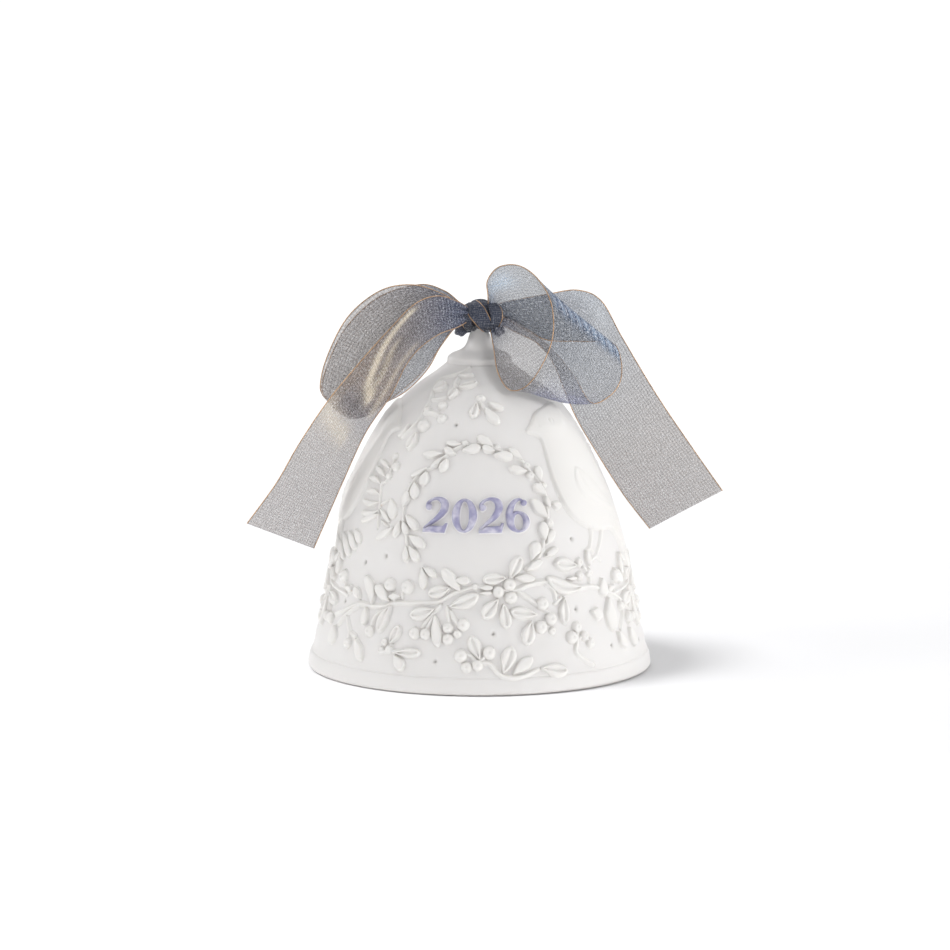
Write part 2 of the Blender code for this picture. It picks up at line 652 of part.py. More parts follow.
sprig("sprig_lower_right", RELIEF,
      [[(40, 5.6), (39, 9.0), (38, 12.6)], [(39, 9.0), (42, 12.6)], [(38.6, 10.6), (35, 12.4)]],
      [((40, 7.0), (46, 9.6), 2.2), ((39, 8.6), (31.5, 8.0), 2.2)], [(38, 13.4), (34.4, 12.6), (42.4, 13.2)])
sprig("sprig_side_left", RELIEF,
      [[(-54, 32.0), (-50.5, 37.0), (-48.5, 43.0), (-48, 50.0)]],
      [((-53, 33.4), (-60, 37.0), 1.9), ((-51.5, 35.5), (-46, 38.0), 1.9), ((-50, 38.5), (-57, 43.0), 1.9),
       ((-49.3, 41.0), (-43, 44.0), 1.9), ((-48.6, 44.0), (-55, 48.6), 1.9), ((-48.2, 46.5), (-42, 49.6), 1.9)],
      [(-50, 50.4)])
sprig("sprig_side_right", RELIEF,
      [[(112, 36.0), (114, 41.0), (113, 47.0), (110, 52.0)]],
      [((112.5, 38.0), (105, 42.0), 2.0), ((113.5, 40.5), (121, 43.4), 2.0), ((113.6, 43.5), (106, 48.0), 2.0),
       ((113, 46.5), (121, 50.0), 2.0)], [(110, 52.3)])
sprig("sprig_back", RELIEF,
      [[(170, 36.0), (177, 40.0), (184, 44.5), (190, 50.0)]],
      [((171.5, 37.0), (168, 43.0), 2.2), ((174, 38.4), (181, 35.6), 2.2), ((178, 40.6), (175, 47.0), 2.2),
       ((181, 42.6), (189, 40.6), 2.2), ((185, 45.4), (182, 51.6), 2.1)], [(190.5, 50.6), (192, 49.0)])


# -- birds: body plate, wing and legs --
def bird(name, turn, flip):
    """A plain perched bird; turn is the angle of its breast, flip -1 mirrors it."""
    def at(da, z):
        return (turn + flip * da, z)

    def egg(centre, long, short, tilt, points=12):
        out = []
        for k in range(points):
            a = 2 * math.pi * k / points
            u, v = long * math.cos(a), short * math.sin(a) * (1 - 0.18 * math.cos(a))
            c, t = math.cos(math.radians(tilt)), math.sin(math.radians(tilt))
            out.append(at(centre[0] + math.degrees((u * c - v * t) / 27.0), centre[1] + u * t + v * c))
        return out
    legs = [stem([at(16, 38.5), at(15, 33.6), at(12, 30.2)], 5, 0.34),
            stem([at(22, 37.5), at(21.5, 33.6), at(19, 30.0)], 5, 0.34)]
    tail = petal(at(24, 41.5), at(44, 31.5), 5.0, 0.42, 6, 3, 0.8)
    beak = petal(at(-2, 57.8), at(-10.5, 57.2), 2.6, 0.36, 5, 2, 0.75)
    wing = petal(at(9, 49.6), at(32, 38.6), 6.4, 0.5, 8, 4, 1.35)
    head = blob(egg((1.5, 57.6), 4.3, 3.9, 0), 0.33, 0.85, 1.2)
    body = blob(egg((14.0, 46.6), 12.0, 7.2, -46, 16))
    return union(name, [body, head, beak, tail, wing, *legs], RELIEF)


bird("bird_right", 38.5, 1)
bird("bird_left", -64.0, -1)

# -- ribbon: knot, strand through the eye, loops and tails, edge wires --
KNOT_C, KNOT_R = (0.5, -7.1, 82.2), (4.2, 3.0, 4.2)
BOW_PIVOT = (0, 0, EYE_Z)
LEFT_PIVOT = (-4.0, -9.0, 82.5)
RIGHT_PIVOT = (5.0, -4.5, 82.0)


def knot():
    """A tight half hitch: a rounded lump whose surface winds with the wrapped turns."""
    rows, cols = 12, 20
    verts, faces = [], []

    def bump(u, v):
        wind = math.sin(3 * v + 2.2 * math.cos(u)) * 0.05 * math.sin(u)
        return 1 + wind
    verts.append((KNOT_C[0], KNOT_C[1], KNOT_C[2] - KNOT_R[2]))
    for i in range(1, rows):
        u = math.pi * i / rows
        for k in range(cols):
            v = 2 * math.pi * k / cols
            s = bump(u, v)
            verts.append((KNOT_C[0] + KNOT_R[0] * s * math.sin(u) * math.cos(v),
                          KNOT_C[1] + KNOT_R[1] * s * math.sin(u) * math.sin(v),
                          KNOT_C[2] - KNOT_R[2] * math.cos(u)))
    verts.append((KNOT_C[0], KNOT_C[1], KNOT_C[2] + KNOT_R[2]))
    for k in range(cols):
        m = (k + 1) % cols
        faces.append((0, 1 + m, 1 + k))
        for i in range(rows - 2):
            p, q = 1 + i * cols, 1 + (i + 1) * cols
            faces.append((p + k, p + m, q + m, q + k))
        last = 1 + (rows - 2) * cols
        faces.append((last + k, last + m, len(verts) - 1))
    set_pivot(make_object("ribbon_knot", verts, faces, KNOT), BOW_PIVOT)


knot()
strand = spline([(-3.9, -4.4, 78.6), (-4.5, -1.9, 78.8), (-3.1, 0.0, EYE_Z), (0, 0, EYE_Z),
                 (3.1, 0.0, EYE_Z), (4.5, -1.9, 78.8), (3.9, -4.4, 78.6)], 15)
set_pivot(make_object("ribbon_eye_strand", *tube(strand, 1.3, 7), KNOT), BOW_PIVOT)

LOOP_LEFT_A = [(-4.7, -7.9, 85.0), (-9.0, -9.0, 87.6), (-15.4, -10.5, 89.6), (-22.7, -11.5, 88.3),
               (-30.0, -12.0, 82.4), (-34.8, -11.5, 73.2), (-36.5, -9.5, 66.0), (-35.2, -5.5, 62.8),
               (-33.4, -2.0, 67.7), (-28.0, -0.6, 79.6), (-20.2, -1.0, 87.8), (-12.8, -2.0, 89.5),
               (-7.7, -3.2, 88.0), (-4.6, -4.4, 85.4)]
LOOP_LEFT_B = [(-4.8, -7.7, 80.0), (-7.0, -8.2, 78.0), (-9.3, -9.0, 74.7), (-11.3, -9.3, 71.0),
               (-13.6, -9.5, 68.1), (-16.4, -9.5, 65.4), (-19.2, -8.5, 63.5), (-21.4, -5.5, 62.2),
               (-20.2, -2.5, 63.2), (-17.4, -1.5, 65.8), (-14.2, -1.5, 69.0), (-11.4, -2.0, 72.6),
               (-8.4, -3.0, 76.2), (-5.2, -4.3, 80.2)]
TAIL_LEFT_A = [(-4.8, -10.1, 85.6), (-9.5, -12.2, 87.2), (-14.7, -14.4, 85.6), (-20.3, -15.6, 80.1),
               (-26.9, -16.0, 72.8), (-34.7, -15.8, 63.3), (-43.7, -15.2, 49.9), (-54.0, -14.6, 35.6)]
TAIL_LEFT_B = [(-4.9, -10.1, 79.9), (-9.5, -12.0, 78.3), (-13.8, -12.8, 75.2), (-17.0, -12.8, 71.1),
               (-20.4, -12.2, 64.2), (-26.2, -10.0, 55.4), (-32.4, -7.0, 43.0), (-39.2, -4.6, 28.6)]
LOOP_RIGHT_A = [(2.2, -8.4, 87.6), (1.7, -8.8, 91.0), (4.4, -8.8, 94.3), (9.0, -8.8, 94.6),
                (13.3, -9.3, 91.4), (16.3, -10.8, 85.8), (16.7, -13.2, 78.6), (14.4, -15.6, 72.2),
                (10.6, -17.0, 67.4), (6.7, -16.6, 66.6), (4.0, -14.2, 70.2), (3.3, -10.8, 75.6)]
LOOP_RIGHT_B = [(5.2, -6.2, 86.4), (7.6, -4.2, 88.2), (12.3, -2.9, 89.2), (18.5, -2.4, 86.3),
                (25.9, -2.6, 79.6), (31.6, -4.0, 73.8), (32.4, -6.5, 68.5), (29.0, -9.5, 63.6),
                (22.4, -11.5, 62.1), (14.9, -13.0, 64.5), (8.4, -12.2, 70.0), (5.0, -9.6, 76.2)]
TAIL_RIGHT_A = [(5.6, -4.6, 85.0), (9.8, -2.0, 85.6), (15.8, 1.6, 86.3), (22.8, 6.0, 86.8),
                (28.4, 8.6, 84.0), (33.0, 9.4, 75.4), (40.8, 8.0, 62.0), (48.4, 5.6, 50.2),
                (55.1, 2.8, 39.1)]
TAIL_RIGHT_B = [(5.8, -4.6, 79.4), (9.1, -1.4, 77.4), (13.3, 2.6, 74.8), (17.1, 7.0, 69.8),
                (19.9, 10.2, 62.8), (22.5, 12.2, 55.8), (26.9, 12.4, 47.4), (33.2, 9.6, 37.6),
                (39.2, 5.6, 29.8)]

strip("loop_left", ORGANZA, LOOP_LEFT_A, LOOP_LEFT_B, 30, pivot=BOW_PIVOT)
strip("loop_right", ORGANZA, LOOP_RIGHT_A, LOOP_RIGHT_B, 30, pivot=BOW_PIVOT)
strip("tail_left", ORGANZA, TAIL_LEFT_A, TAIL_LEFT_B, 18, pivot=LEFT_PIVOT)
strip("tail_right", ORGANZA, TAIL_RIGHT_A, TAIL_RIGHT_B, 18, pivot=RIGHT_PIVOT)
edge_wire("loop_left_outer_wire", SELVEDGE, LOOP_LEFT_A, 30, BOW_PIVOT)
edge_wire("loop_left_inner_wire", SELVEDGE, LOOP_LEFT_B, 30, BOW_PIVOT)
edge_wire("loop_right_front_wire", SELVEDGE, LOOP_RIGHT_A, 30, BOW_PIVOT)
edge_wire("loop_right_rear_wire", SELVEDGE, LOOP_RIGHT_B, 30, BOW_PIVOT)
edge_wire("tail_left_outer_wire", SELVEDGE, TAIL_LEFT_A, 18, LEFT_PIVOT)
edge_wire("tail_left_inner_wire", SELVEDGE, TAIL_LEFT_B, 18, LEFT_PIVOT)
edge_wire("tail_right_outer_wire", SELVEDGE, TAIL_RIGHT_A, 18, RIGHT_PIVOT)
edge_wire("tail_right_inner_wire", SELVEDGE, TAIL_RIGHT_B, 18, RIGHT_PIVOT)
bpy.context.view_layer.update()
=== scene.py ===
"""Looks of the porcelain christmas bell with its tied organza bow.

All lengths below are millimetres and all angles degrees, in the frame's own axes: origin at
the centre of the rim, +Z up, the year on the -Y side. Relief is laid out on a front elevation
(across, up) and projected onto the wall from LAYOUT_EYE, or given as (angle, height) on it.
"""
import math

import bpy
import numpy as np
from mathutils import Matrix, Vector


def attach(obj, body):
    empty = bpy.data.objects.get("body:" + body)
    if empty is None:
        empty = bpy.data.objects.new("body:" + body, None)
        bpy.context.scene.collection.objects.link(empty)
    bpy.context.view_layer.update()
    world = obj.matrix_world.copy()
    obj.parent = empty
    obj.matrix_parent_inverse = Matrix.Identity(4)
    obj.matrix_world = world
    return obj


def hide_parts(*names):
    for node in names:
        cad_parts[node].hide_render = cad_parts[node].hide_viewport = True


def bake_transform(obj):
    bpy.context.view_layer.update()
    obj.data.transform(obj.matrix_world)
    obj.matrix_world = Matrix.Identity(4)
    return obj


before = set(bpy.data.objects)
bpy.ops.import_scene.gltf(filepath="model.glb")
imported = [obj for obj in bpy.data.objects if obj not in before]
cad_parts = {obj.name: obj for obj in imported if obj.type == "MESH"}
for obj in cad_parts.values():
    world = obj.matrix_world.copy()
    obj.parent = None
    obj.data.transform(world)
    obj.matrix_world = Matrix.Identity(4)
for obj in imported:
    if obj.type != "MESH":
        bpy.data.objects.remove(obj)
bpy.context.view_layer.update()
MM = 0.001


# ======================================================================================
# bell wall
# ======================================================================================
OUTER = [
    (0.9, 39.95), (3.6, 39.35), (4.2, 39.05), (8.0, 38.1), (13.0, 36.75), (20.0, 35.0),
    (28.0, 33.6), (35.0, 32.0), (42.0, 29.7), (48.0, 27.0), (54.0, 23.9), (59.0, 20.8),
    (63.0, 17.4), (66.5, 13.2), (69.0, 9.6), (70.7, 7.5),
]
WALL = 2.3
_z = np.array([p[0] for p in OUTER])
_r = np.array([p[1] for p in OUTER])


def _wall_table():
    z = np.linspace(_z[0], _z[-1], 2400)
    i = np.clip(np.searchsorted(_z, z) - 1, 0, len(_z) - 2)
    m = np.gradient(_r, _z)
    h = _z[i + 1] - _z[i]
    t = (z - _z[i]) / h
    r = ((2 * t ** 3 - 3 * t ** 2 + 1) * _r[i] + (t ** 3 - 2 * t ** 2 + t) * h * m[i]
         + (3 * t ** 2 - 2 * t ** 3) * _r[i + 1] + (t ** 3 - t ** 2) * h * m[i + 1])
    return z, r


ZT, RT = _wall_table()
ST = np.gradient(RT, ZT)
ST = np.convolve(np.pad(ST, 20, mode="edge"), np.ones(41) / 41, mode="valid")


def radius(z):
    return np.interp(z, ZT, RT)


def slope(z):
    return np.interp(z, ZT, ST)


def on_wall(angle, z, lift):
    """World points, lift mm out along the wall's normal."""
    angle, z, lift = np.broadcast_arrays(np.asarray(angle, float), z, lift)
    s = slope(z)
    k = 1 / np.hypot(1, s)
    r, h = radius(z) + lift * k, z - lift * s * k
    a = np.radians(angle)
    return np.stack([r * np.sin(a), -r * np.cos(a), h], axis=-1)


def local_map(at, direction):
    """Map (along, across, lift) mm about a wall point to the world; direction 0 runs round
    the wall towards +angle and 90 up it."""
    angle, z = at
    c, s = math.cos(math.radians(direction)), math.sin(math.radians(direction))
    k = 1 / math.hypot(1, float(slope(z)))

    def place(along, across, lift):
        level, rise = along * c - across * s, along * s + across * c
        height = z + rise * k
        return on_wall(angle + np.degrees(level / radius(height)), height, lift)
    return place


def span(a, b):
    """(direction, length) on the wall from a to b."""
    zm = (a[1] + b[1]) / 2
    k = 1 / math.hypot(1, float(slope(zm)))
    du, dv = math.radians(b[0] - a[0]) * float(radius(zm)), (b[1] - a[1]) / k
    return math.degrees(math.atan2(dv, du)), math.hypot(du, dv)


# ======================================================================================
# front elevation layout
# ======================================================================================
TILT = math.radians(8.2)
LAYOUT_CENTRE = np.array([-1.045, 0.0, 44.3])
LAYOUT_EYE = LAYOUT_CENTRE + 900.0 * np.array([0.0, -math.cos(TILT), math.sin(TILT)])
LAYOUT_UP = np.array([0.0, math.sin(TILT), math.cos(TILT)])
LAYOUT_ACROSS = np.array([1.0, 0.0, 0.0])
LAYOUT_HEIGHT = 44.12       # of LAYOUT_CENTRE on the drawing


def cast(points):
    """(angle, height) on the wall for (across, up) on the front elevation. Points outside
    the silhouette land on it."""
    p = np.atleast_2d(np.asarray(points, float))[:, :2]
    target = (LAYOUT_CENTRE + (p[:, 0] - LAYOUT_CENTRE[0])[:, None] * LAYOUT_ACROSS
              + (p[:, 1] - LAYOUT_HEIGHT)[:, None] * LAYOUT_UP)
    ray = target - LAYOUT_EYE
    ray /= np.linalg.norm(ray, axis=1)[:, None]
    out = np.zeros((len(p), 2))
    steps = np.linspace(838, 958, 700)
    for start in range(0, len(p), 4000):
        r = ray[start:start + 4000]
        q = LAYOUT_EYE + steps[None, :, None] * r[:, None, :]
        gap = np.hypot(q[..., 0], q[..., 1]) - radius(q[..., 2])
        gap = np.where((q[..., 2] < 0.4) | (q[..., 2] > 70.7), 50.0, gap)
        hit = gap < 0
        first = np.argmax(hit, axis=1)
        missed = ~hit.any(axis=1)
        first = np.where(missed, np.argmin(gap, axis=1), first)
        rows = np.arange(len(r))
        before = np.clip(first - 1, 0, None)
        g0, g1 = gap[rows, before], gap[rows, first]
        f = np.where(missed | (g0 - g1 < 1e-9) | (g0 > 10), 0.0, g1 / np.where(g0 - g1 < 1e-9, 1, g0 - g1))
        at = q[rows, first] + (q[rows, before] - q[rows, first]) * (-f[:, None])
        out[start:start + 4000, 0] = np.degrees(np.arctan2(at[:, 0], -at[:, 1]))
        out[start:start + 4000, 1] = at[:, 2]
    return out


# ======================================================================================
# curves and meshes
# ======================================================================================
def spline(points, count, closed=False):
    """Catmull-Rom through the handles, spaced evenly by length."""
    p = np.array(points, float)
    if closed:
        p = np.vstack([p[-1], p, p[0], p[1]])
    else:
        p = np.vstack([2 * p[0] - p[1], p, 2 * p[-1] - p[-2]])
    t = np.linspace(0, 1, 24, endpoint=False)[:, None]
    dense = []
    for i in range(1, len(p) - 2):
        a, b, c, d = p[i - 1], p[i], p[i + 1], p[i + 2]
        dense.append(0.5 * (2 * b + (c - a) * t + (2 * a - 5 * b + 4 * c - d) * t * t
                            + (3 * b - a - 3 * c + d) * t ** 3))
    dense = np.vstack([*dense, p[-2][None]])
    run = np.concatenate([[0], np.cumsum(np.linalg.norm(np.diff(dense, axis=0), axis=1))])
    marks = np.linspace(0, run[-1], count + 1 if closed else count)
    if closed:
        marks = marks[:-1]
    return np.stack([np.interp(marks, run, dense[:, k]) for k in range(dense.shape[1])], axis=1)


def normalised(v):
    return v / np.maximum(np.linalg.norm(v, axis=-1, keepdims=True), 1e-12)


def smooth(x):
    x = np.clip(x, 0, 1)
    return x * x * (3 - 2 * x)


def mesh_object(name, verts, faces, mats, sharp=None):
    mesh = bpy.data.meshes.new(name)
    mesh.from_pydata((np.asarray(verts, float) * MM).tolist(), [], faces)
    mesh.update()
    mesh.shade_smooth()
    if sharp:
        mesh.set_sharp_from_angle(angle=math.radians(sharp))
    for mat in mats if isinstance(mats, (list, tuple)) else [mats]:
        mesh.materials.append(mat)
    obj = bpy.data.objects.new(name, mesh)
    bpy.context.scene.collection.objects.link(obj)
    return obj


def joined(bodies):
    """One (verts, faces) from several."""
    verts, faces, base = [], [], 0
    for v, f in bodies:
        v = np.asarray(v, float)
        verts.append(v)
        faces += [tuple(i + base for i in face) for face in f]
        base += len(v)
    return np.vstack(verts), faces


def point_attribute(obj, name, values, kind="FLOAT"):
    layer = obj.data.attributes.new(name, kind, "POINT")
    key = {"FLOAT": "value", "FLOAT_VECTOR": "vector", "FLOAT_COLOR": "color"}[kind]
    layer.data.foreach_set(key, np.asarray(values, np.float32).ravel())


_strip_faces = {}


def ring_faces(rings, n):
    """Faces of a closed body: concentric rings from a capped crown out to a capped base."""
    if (rings, n) not in _strip_faces:
        faces = [(0, 1, n - 1), (n // 2 - 1, n // 2, n // 2 + 1)]
        faces += [(i, i + 1, n - i - 1, n - i) for i in range(1, n // 2 - 1)]
        last = (rings - 1) * n
        faces += [tuple(last + i for i in face[::-1]) for face in list(faces)]
        for k in range(rings - 1):
            for i in range(n):
                j = (i + 1) % n
                faces.append((k * n + i, (k + 1) * n + i, (k + 1) * n + j, k * n + j))
        _strip_faces[(rings, n)] = faces
    return _strip_faces[(rings, n)]


PLAIN_LEAF = [(0.14, 1.0), (0.36, 0.99), (0.58, 0.95), (0.76, 0.86), (0.90, 0.68), (1.0, 0.42)]
GROOVED_LEAF = [(0.06, 0.56), (0.20, 0.66), (0.42, 0.96), (0.60, 1.0), (0.78, 0.89), (0.90, 0.69), (1.0, 0.42)]
BERRY = [(0.10, 0.86), (0.24, 0.99), (0.44, 0.98), (0.62, 0.89), (0.78, 0.75), (0.91, 0.56), (1.0, 0.36)]
SKIRT = [(0.05, 0.17), (0.13, 0.05), (0.28, -0.02)]


def swell(place, outline, spine, profile, lift, sink=0.22):
    """A plump raised shape that runs out softly into the wall."""
    n = len(outline)
    along = normalised(np.roll(outline, -1, axis=0) - np.roll(outline, 1, axis=0))
    out = np.stack([along[:, 1], -along[:, 0]], axis=1)
    rings, lifts = [], []
    for share, height in profile:
        rings.append(spine + (outline - spine) * share)
        lifts.append(np.full(n, height) * lift)
    for away, height in SKIRT:
        rings.append(outline + out * away)
        lifts.append(np.full(n, height) * (lift if height > 0 else 1.0))
    rings.append(outline + out * SKIRT[-1][0])
    lifts.append(np.full(n, -sink))
    flat = np.vstack(rings)
    return place(flat[:, 0], flat[:, 1], np.concatenate(lifts)), ring_faces(len(rings), n)


def leaf(base, tip, width=2.3, grooved=False, bend=0.0, lift=1.05, round_=0.50, n=26):
    direction, length = span(base, tip)
    place = local_map(base, direction)
    u = 0.5 - 0.5 * np.cos(np.linspace(0, math.pi, n // 2 + 1))
    half = 0.54 * width * np.sin(math.pi * u ** 1.2) ** round_ * (0.60 + 0.40 * smooth(u / 0.55))
    bow = bend * length * 4 * u * (1 - u)
    side_a = np.stack([u * length, bow + half], axis=1)[::-1]
    side_b = np.stack([u * length, bow - half], axis=1)
    outline = np.vstack([side_a, side_b[1:-1]])
    su = np.clip(outline[:, 0] / length, 0.16, 0.84)
    spine = np.stack([su * length, bend * length * 4 * su * (1 - su)], axis=1)
    return swell(place, outline, spine, GROOVED_LEAF if grooved else PLAIN_LEAF, lift)


def berry(at, r=1.3, n=16, lift=None):
    place = local_map(at, 0)
    a = np.arange(n) * 2 * math.pi / n
    outline = np.stack([r * np.cos(a), r * np.sin(a)], axis=1)
    return swell(place, outline, np.zeros_like(outline), BERRY, lift or 0.86 * r)


RIDGE = [(-1.75, -0.05), (-1.35, 0.05), (-1.05, 0.2), (-0.8, 0.55), (-0.45, 0.88), (0.0, 1.0),
         (0.45, 0.88), (0.8, 0.55), (1.05, 0.2), (1.35, 0.05), (1.75, -0.05)]


def ridge(path, half=0.42, lift=0.55, step=0.55, taper=0.7):
    """A rounded twig on the wall along (angle, height) handles, thinning to its ends."""
    rough = spline(path, 4 * len(path))
    length = np.linalg.norm(np.diff(on_wall(rough[:, 0], rough[:, 1], 0), axis=0), axis=1).sum()
    count = max(5, int(length / step))
    line = spline(path, count)
    p = on_wall(line[:, 0], line[:, 1], 0)
    normal = normalised(on_wall(line[:, 0], line[:, 1], 1.0) - p)
    along = normalised(np.gradient(p, axis=0))
    side = normalised(np.cross(normal, along))
    run = np.linspace(0, length, count)
    end = np.minimum(run, length - run)
    full = np.sqrt(np.clip(0.06 + 0.94 * (1 - (1 - np.clip(end / taper, 0, 1)) ** 2), 0, 1))
    verts = []
    for i in range(count):
        for across, up in RIDGE:
            verts.append(p[i] + side[i] * across * half * (0.45 + 0.55 * full[i])
                         + normal[i] * up * lift * full[i])
        for across in (1.75, -1.75):
            verts.append(p[i] + side[i] * across * half * (0.45 + 0.55 * full[i]) - normal[i] * 0.22)
    m = len(RIDGE) + 2
    faces = []
    for i in range(count - 1):
        for k in range(m):
            j = (k + 1) % m
            faces.append((i * m + k, (i + 1) * m + k, (i + 1) * m + j, i * m + j))
    faces.append(tuple(range(m)))
    faces.append(tuple(range(count * m - 1, (count - 1) * m - 1, -1)))
    return np.array(verts), faces


class Sprig:
    """Leaves, berries and twigs in wall coordinates."""

    def __init__(self, leaves=(), berries=(), stems=(), drawn=True):
        self.leaves, self.berries, self.stems = [], [], []
        for x0, y0, x1, y1, width, *kind in leaves:
            ends = cast([(x0, y0), (x1, y1)]) if drawn else np.array([(x0, y0), (x1, y1)])
            (a0, z0), (a1, z1) = ends
            if drawn:      # widths are as seen from the front; the wall turns away at the sides
                direction = math.radians(span(ends[0], ends[1])[0])
                turn = 1 / max(0.5, math.cos(math.radians((a0 + a1) / 2)))
                width = width * (abs(math.sin(direction)) * (turn - 1) + 1)
            self.leaves.append(((a0, z0), (a1, z1), width, *(kind or [0])))
        for x, y, r in berries:
            self.berries.append((tuple(cast([(x, y)])[0]) if drawn else (x, y), r))
        for path in stems:
            self.stems.append(cast(path) if drawn else np.array(path, float))

    def turned(self, angle=0.0, mirror=False, rise=0.0):
        made = Sprig()

        def move(p):
            return ((-p[0] if mirror else p[0]) + angle, p[1] + rise)
        for a, b, width, *kind in self.leaves:
            kind = [kind[0], *[-k if mirror else k for k in kind[1:]]]
            made.leaves.append((move(a), move(b), width, *kind))
        made.berries = [(move(at), r) for at, r in self.berries]
        made.stems = [np.array([move(p) for p in path]) for path in self.stems]
        return made

    def between(self, low, high):
        """The part whose roots lie between two angles."""
        made = Sprig()
        made.leaves = [item for item in self.leaves if low <= item[0][0] < high]
        made.berries = [item for item in self.berries if low <= item[0][0] < high]
        for path in self.stems:
            kept = np.array([p for p in path if low - 1.5 <= p[0] < high + 1.5])
            if len(kept) >= 2:
                made.stems.append(kept)
        return made

    def __add__(self, other):
        made = Sprig()
        made.leaves = self.leaves + other.leaves
        made.berries = self.berries + other.berries
        made.stems = self.stems + other.stems
        return made

    def bodies(self, lift=1.05, half=0.46):
        made = [ridge(path, half) for path in self.stems]
        for base, tip, width, *kind in self.leaves:
            grooved = bool(kind and kind[0])
            bend = kind[1] if len(kind) > 1 else 0.0
            made.append(leaf(base, tip, width, grooved, bend, lift))
        made += [berry(at, r) for at, r in self.berries]
        return made


# ======================================================================================
# materials
# ======================================================================================
def new_material(name):
    mat = bpy.data.materials.new(name)
    mat.use_nodes = True
    tree = mat.node_tree
    return mat, tree, tree.nodes["Principled BSDF"]


def node(tree, kind, inputs=None, **settings):
    made = tree.nodes.new(kind)
    for key, value in settings.items():
        setattr(made, key, value)
    for key, value in (inputs or {}).items():
        socket = made.inputs[key]
        if isinstance(value, bpy.types.NodeSocket):
            tree.links.new(value, socket)
        else:
            socket.default_value = value
    return made


def math_node(tree, operation, *values):
    made = tree.nodes.new("ShaderNodeMath")
    made.operation = operation
    for i, value in enumerate(values):
        if isinstance(value, bpy.types.NodeSocket):
            tree.links.new(value, made.inputs[i])
        else:
            made.inputs[i].default_value = value
    return made.outputs[0]


def mix_colour(tree, factor, a, b, blend="MIX"):
    made = tree.nodes.new("ShaderNodeMix")
    made.data_type = "RGBA"
    made.blend_type = blend
    for socket, value in zip((made.inputs[0], made.inputs[6], made.inputs[7]), (factor, a, b)):
        if isinstance(value, bpy.types.NodeSocket):
            tree.links.new(value, socket)
        else:
            socket.default_value = value if isinstance(value, float) else (*value, 1.0)
    return made.outputs[2]


def crease_shade(tree, colour, reach=1.3):
    """Painted shade: the colour is darkened in the hollows round the relief, where ambient occlusion finds them."""
    hollow = node(tree, "ShaderNodeAmbientOcclusion", {"Distance": reach * MM}, samples=5)
    open_ = node(tree, "ShaderNodeMapRange", {"Value": hollow.outputs["AO"], "From Min": 0.30, "From Max": 0.86})
    return mix_colour(tree, open_.outputs[0], mix_colour(tree, 1.0, colour, (0.78, 0.765, 0.755), "MULTIPLY"), colour)


def bisque(name, colour, shade, rough=0.58, grain=0.02):
    """Unglazed porcelain: a dry, slightly translucent body with a very fine tooth."""
    mat, tree, shader = new_material(name)
    where = node(tree, "ShaderNodeTexCoord").outputs["Object"]
    cloud = node(tree, "ShaderNodeTexNoise", {"Vector": where, "Scale": 45.0, "Detail": 3.0})
    tooth = node(tree, "ShaderNodeTexNoise", {"Vector": where, "Scale": 2600.0, "Detail": 2.0})
    colour_out = mix_colour(tree, math_node(tree, "MULTIPLY", cloud.outputs[0], 0.9), colour, shade)
    pit_shade = node(tree, "ShaderNodeAttribute", attribute_name="pit_shade").outputs["Fac"]      # painted shade in the pin-prick dimples
    colour_out = mix_colour(tree, pit_shade, colour_out, (0.22, 0.20, 0.18))
    bump = node(tree, "ShaderNodeBump", {"Strength": 0.22, "Distance": grain * MM, "Height": tooth.outputs[0]})
    # painted shade in the hollows round the relief
    tree.links.new(crease_shade(tree, colour_out), shader.inputs["Base Color"])
    tree.links.new(bump.outputs[0], shader.inputs["Normal"])
    rough_out = node(tree, "ShaderNodeMapRange", {"Value": tooth.outputs[0], "To Min": rough - 0.05, "To Max": rough + 0.08})
    tree.links.new(rough_out.outputs[0], shader.inputs["Roughness"])
    shader.inputs["Specular IOR Level"].default_value = 0.28
    shader.inputs["Subsurface Weight"].default_value = 0.12
    shader.inputs["Subsurface Radius"].default_value = (1.0, 0.9, 0.8)
    shader.inputs["Subsurface Scale"].default_value = 0.5 * MM
    return mat


PORCELAIN = bisque("bisque_porcelain", (0.80, 0.785, 0.775), (0.765, 0.75, 0.74))
RELIEF = bisque("bisque_relief", (0.83, 0.815, 0.795), (0.80, 0.785, 0.765), 0.54)


def numeral_paint():
    """Lilac stain on the raised face, worn to bare white at its bevelled edges."""
    mat, tree, shader = new_material("lilac_bisque")
    where = node(tree, "ShaderNodeTexCoord").outputs["Object"]
    face = node(tree, "ShaderNodeAttribute", attribute_name="face").outputs["Fac"]
    cloud = node(tree, "ShaderNodeTexNoise", {"Vector": where, "Scale": 700.0, "Detail": 4.0})
    ragged = math_node(tree, "ADD", face, math_node(tree, "MULTIPLY", math_node(tree, "SUBTRACT", cloud.outputs[0], 0.5), 0.5))
    cover = node(tree, "ShaderNodeMapRange", {"Value": ragged, "From Min": 0.3, "From Max": 0.62})
    wash = node(tree, "ShaderNodeTexNoise", {"Vector": where, "Scale": 420.0, "Detail": 2.0})
    worn = node(tree, "ShaderNodeMapRange", {"Value": wash.outputs[0], "From Min": 0.42, "From Max": 0.66})
    stain = mix_colour(tree, worn.outputs[0], (0.335, 0.325, 0.49), (0.62, 0.605, 0.70))
    colour = mix_colour(tree, cover.outputs[0], (0.80, 0.79, 0.79), stain)
    # painted shade in the hollows round the raised figure
    tree.links.new(crease_shade(tree, colour), shader.inputs["Base Color"])
    tooth = node(tree, "ShaderNodeTexNoise", {"Vector": where, "Scale": 2600.0, "Detail": 2.0})
    bump = node(tree, "ShaderNodeBump", {"Strength": 0.22, "Distance": 0.02 * MM, "Height": tooth.outputs[0]})
    tree.links.new(bump.outputs[0], shader.inputs["Normal"])
    shader.inputs["Roughness"].default_value = 0.5
    shader.inputs["Specular IOR Level"].default_value = 0.35
    return mat


LILAC = numeral_paint()


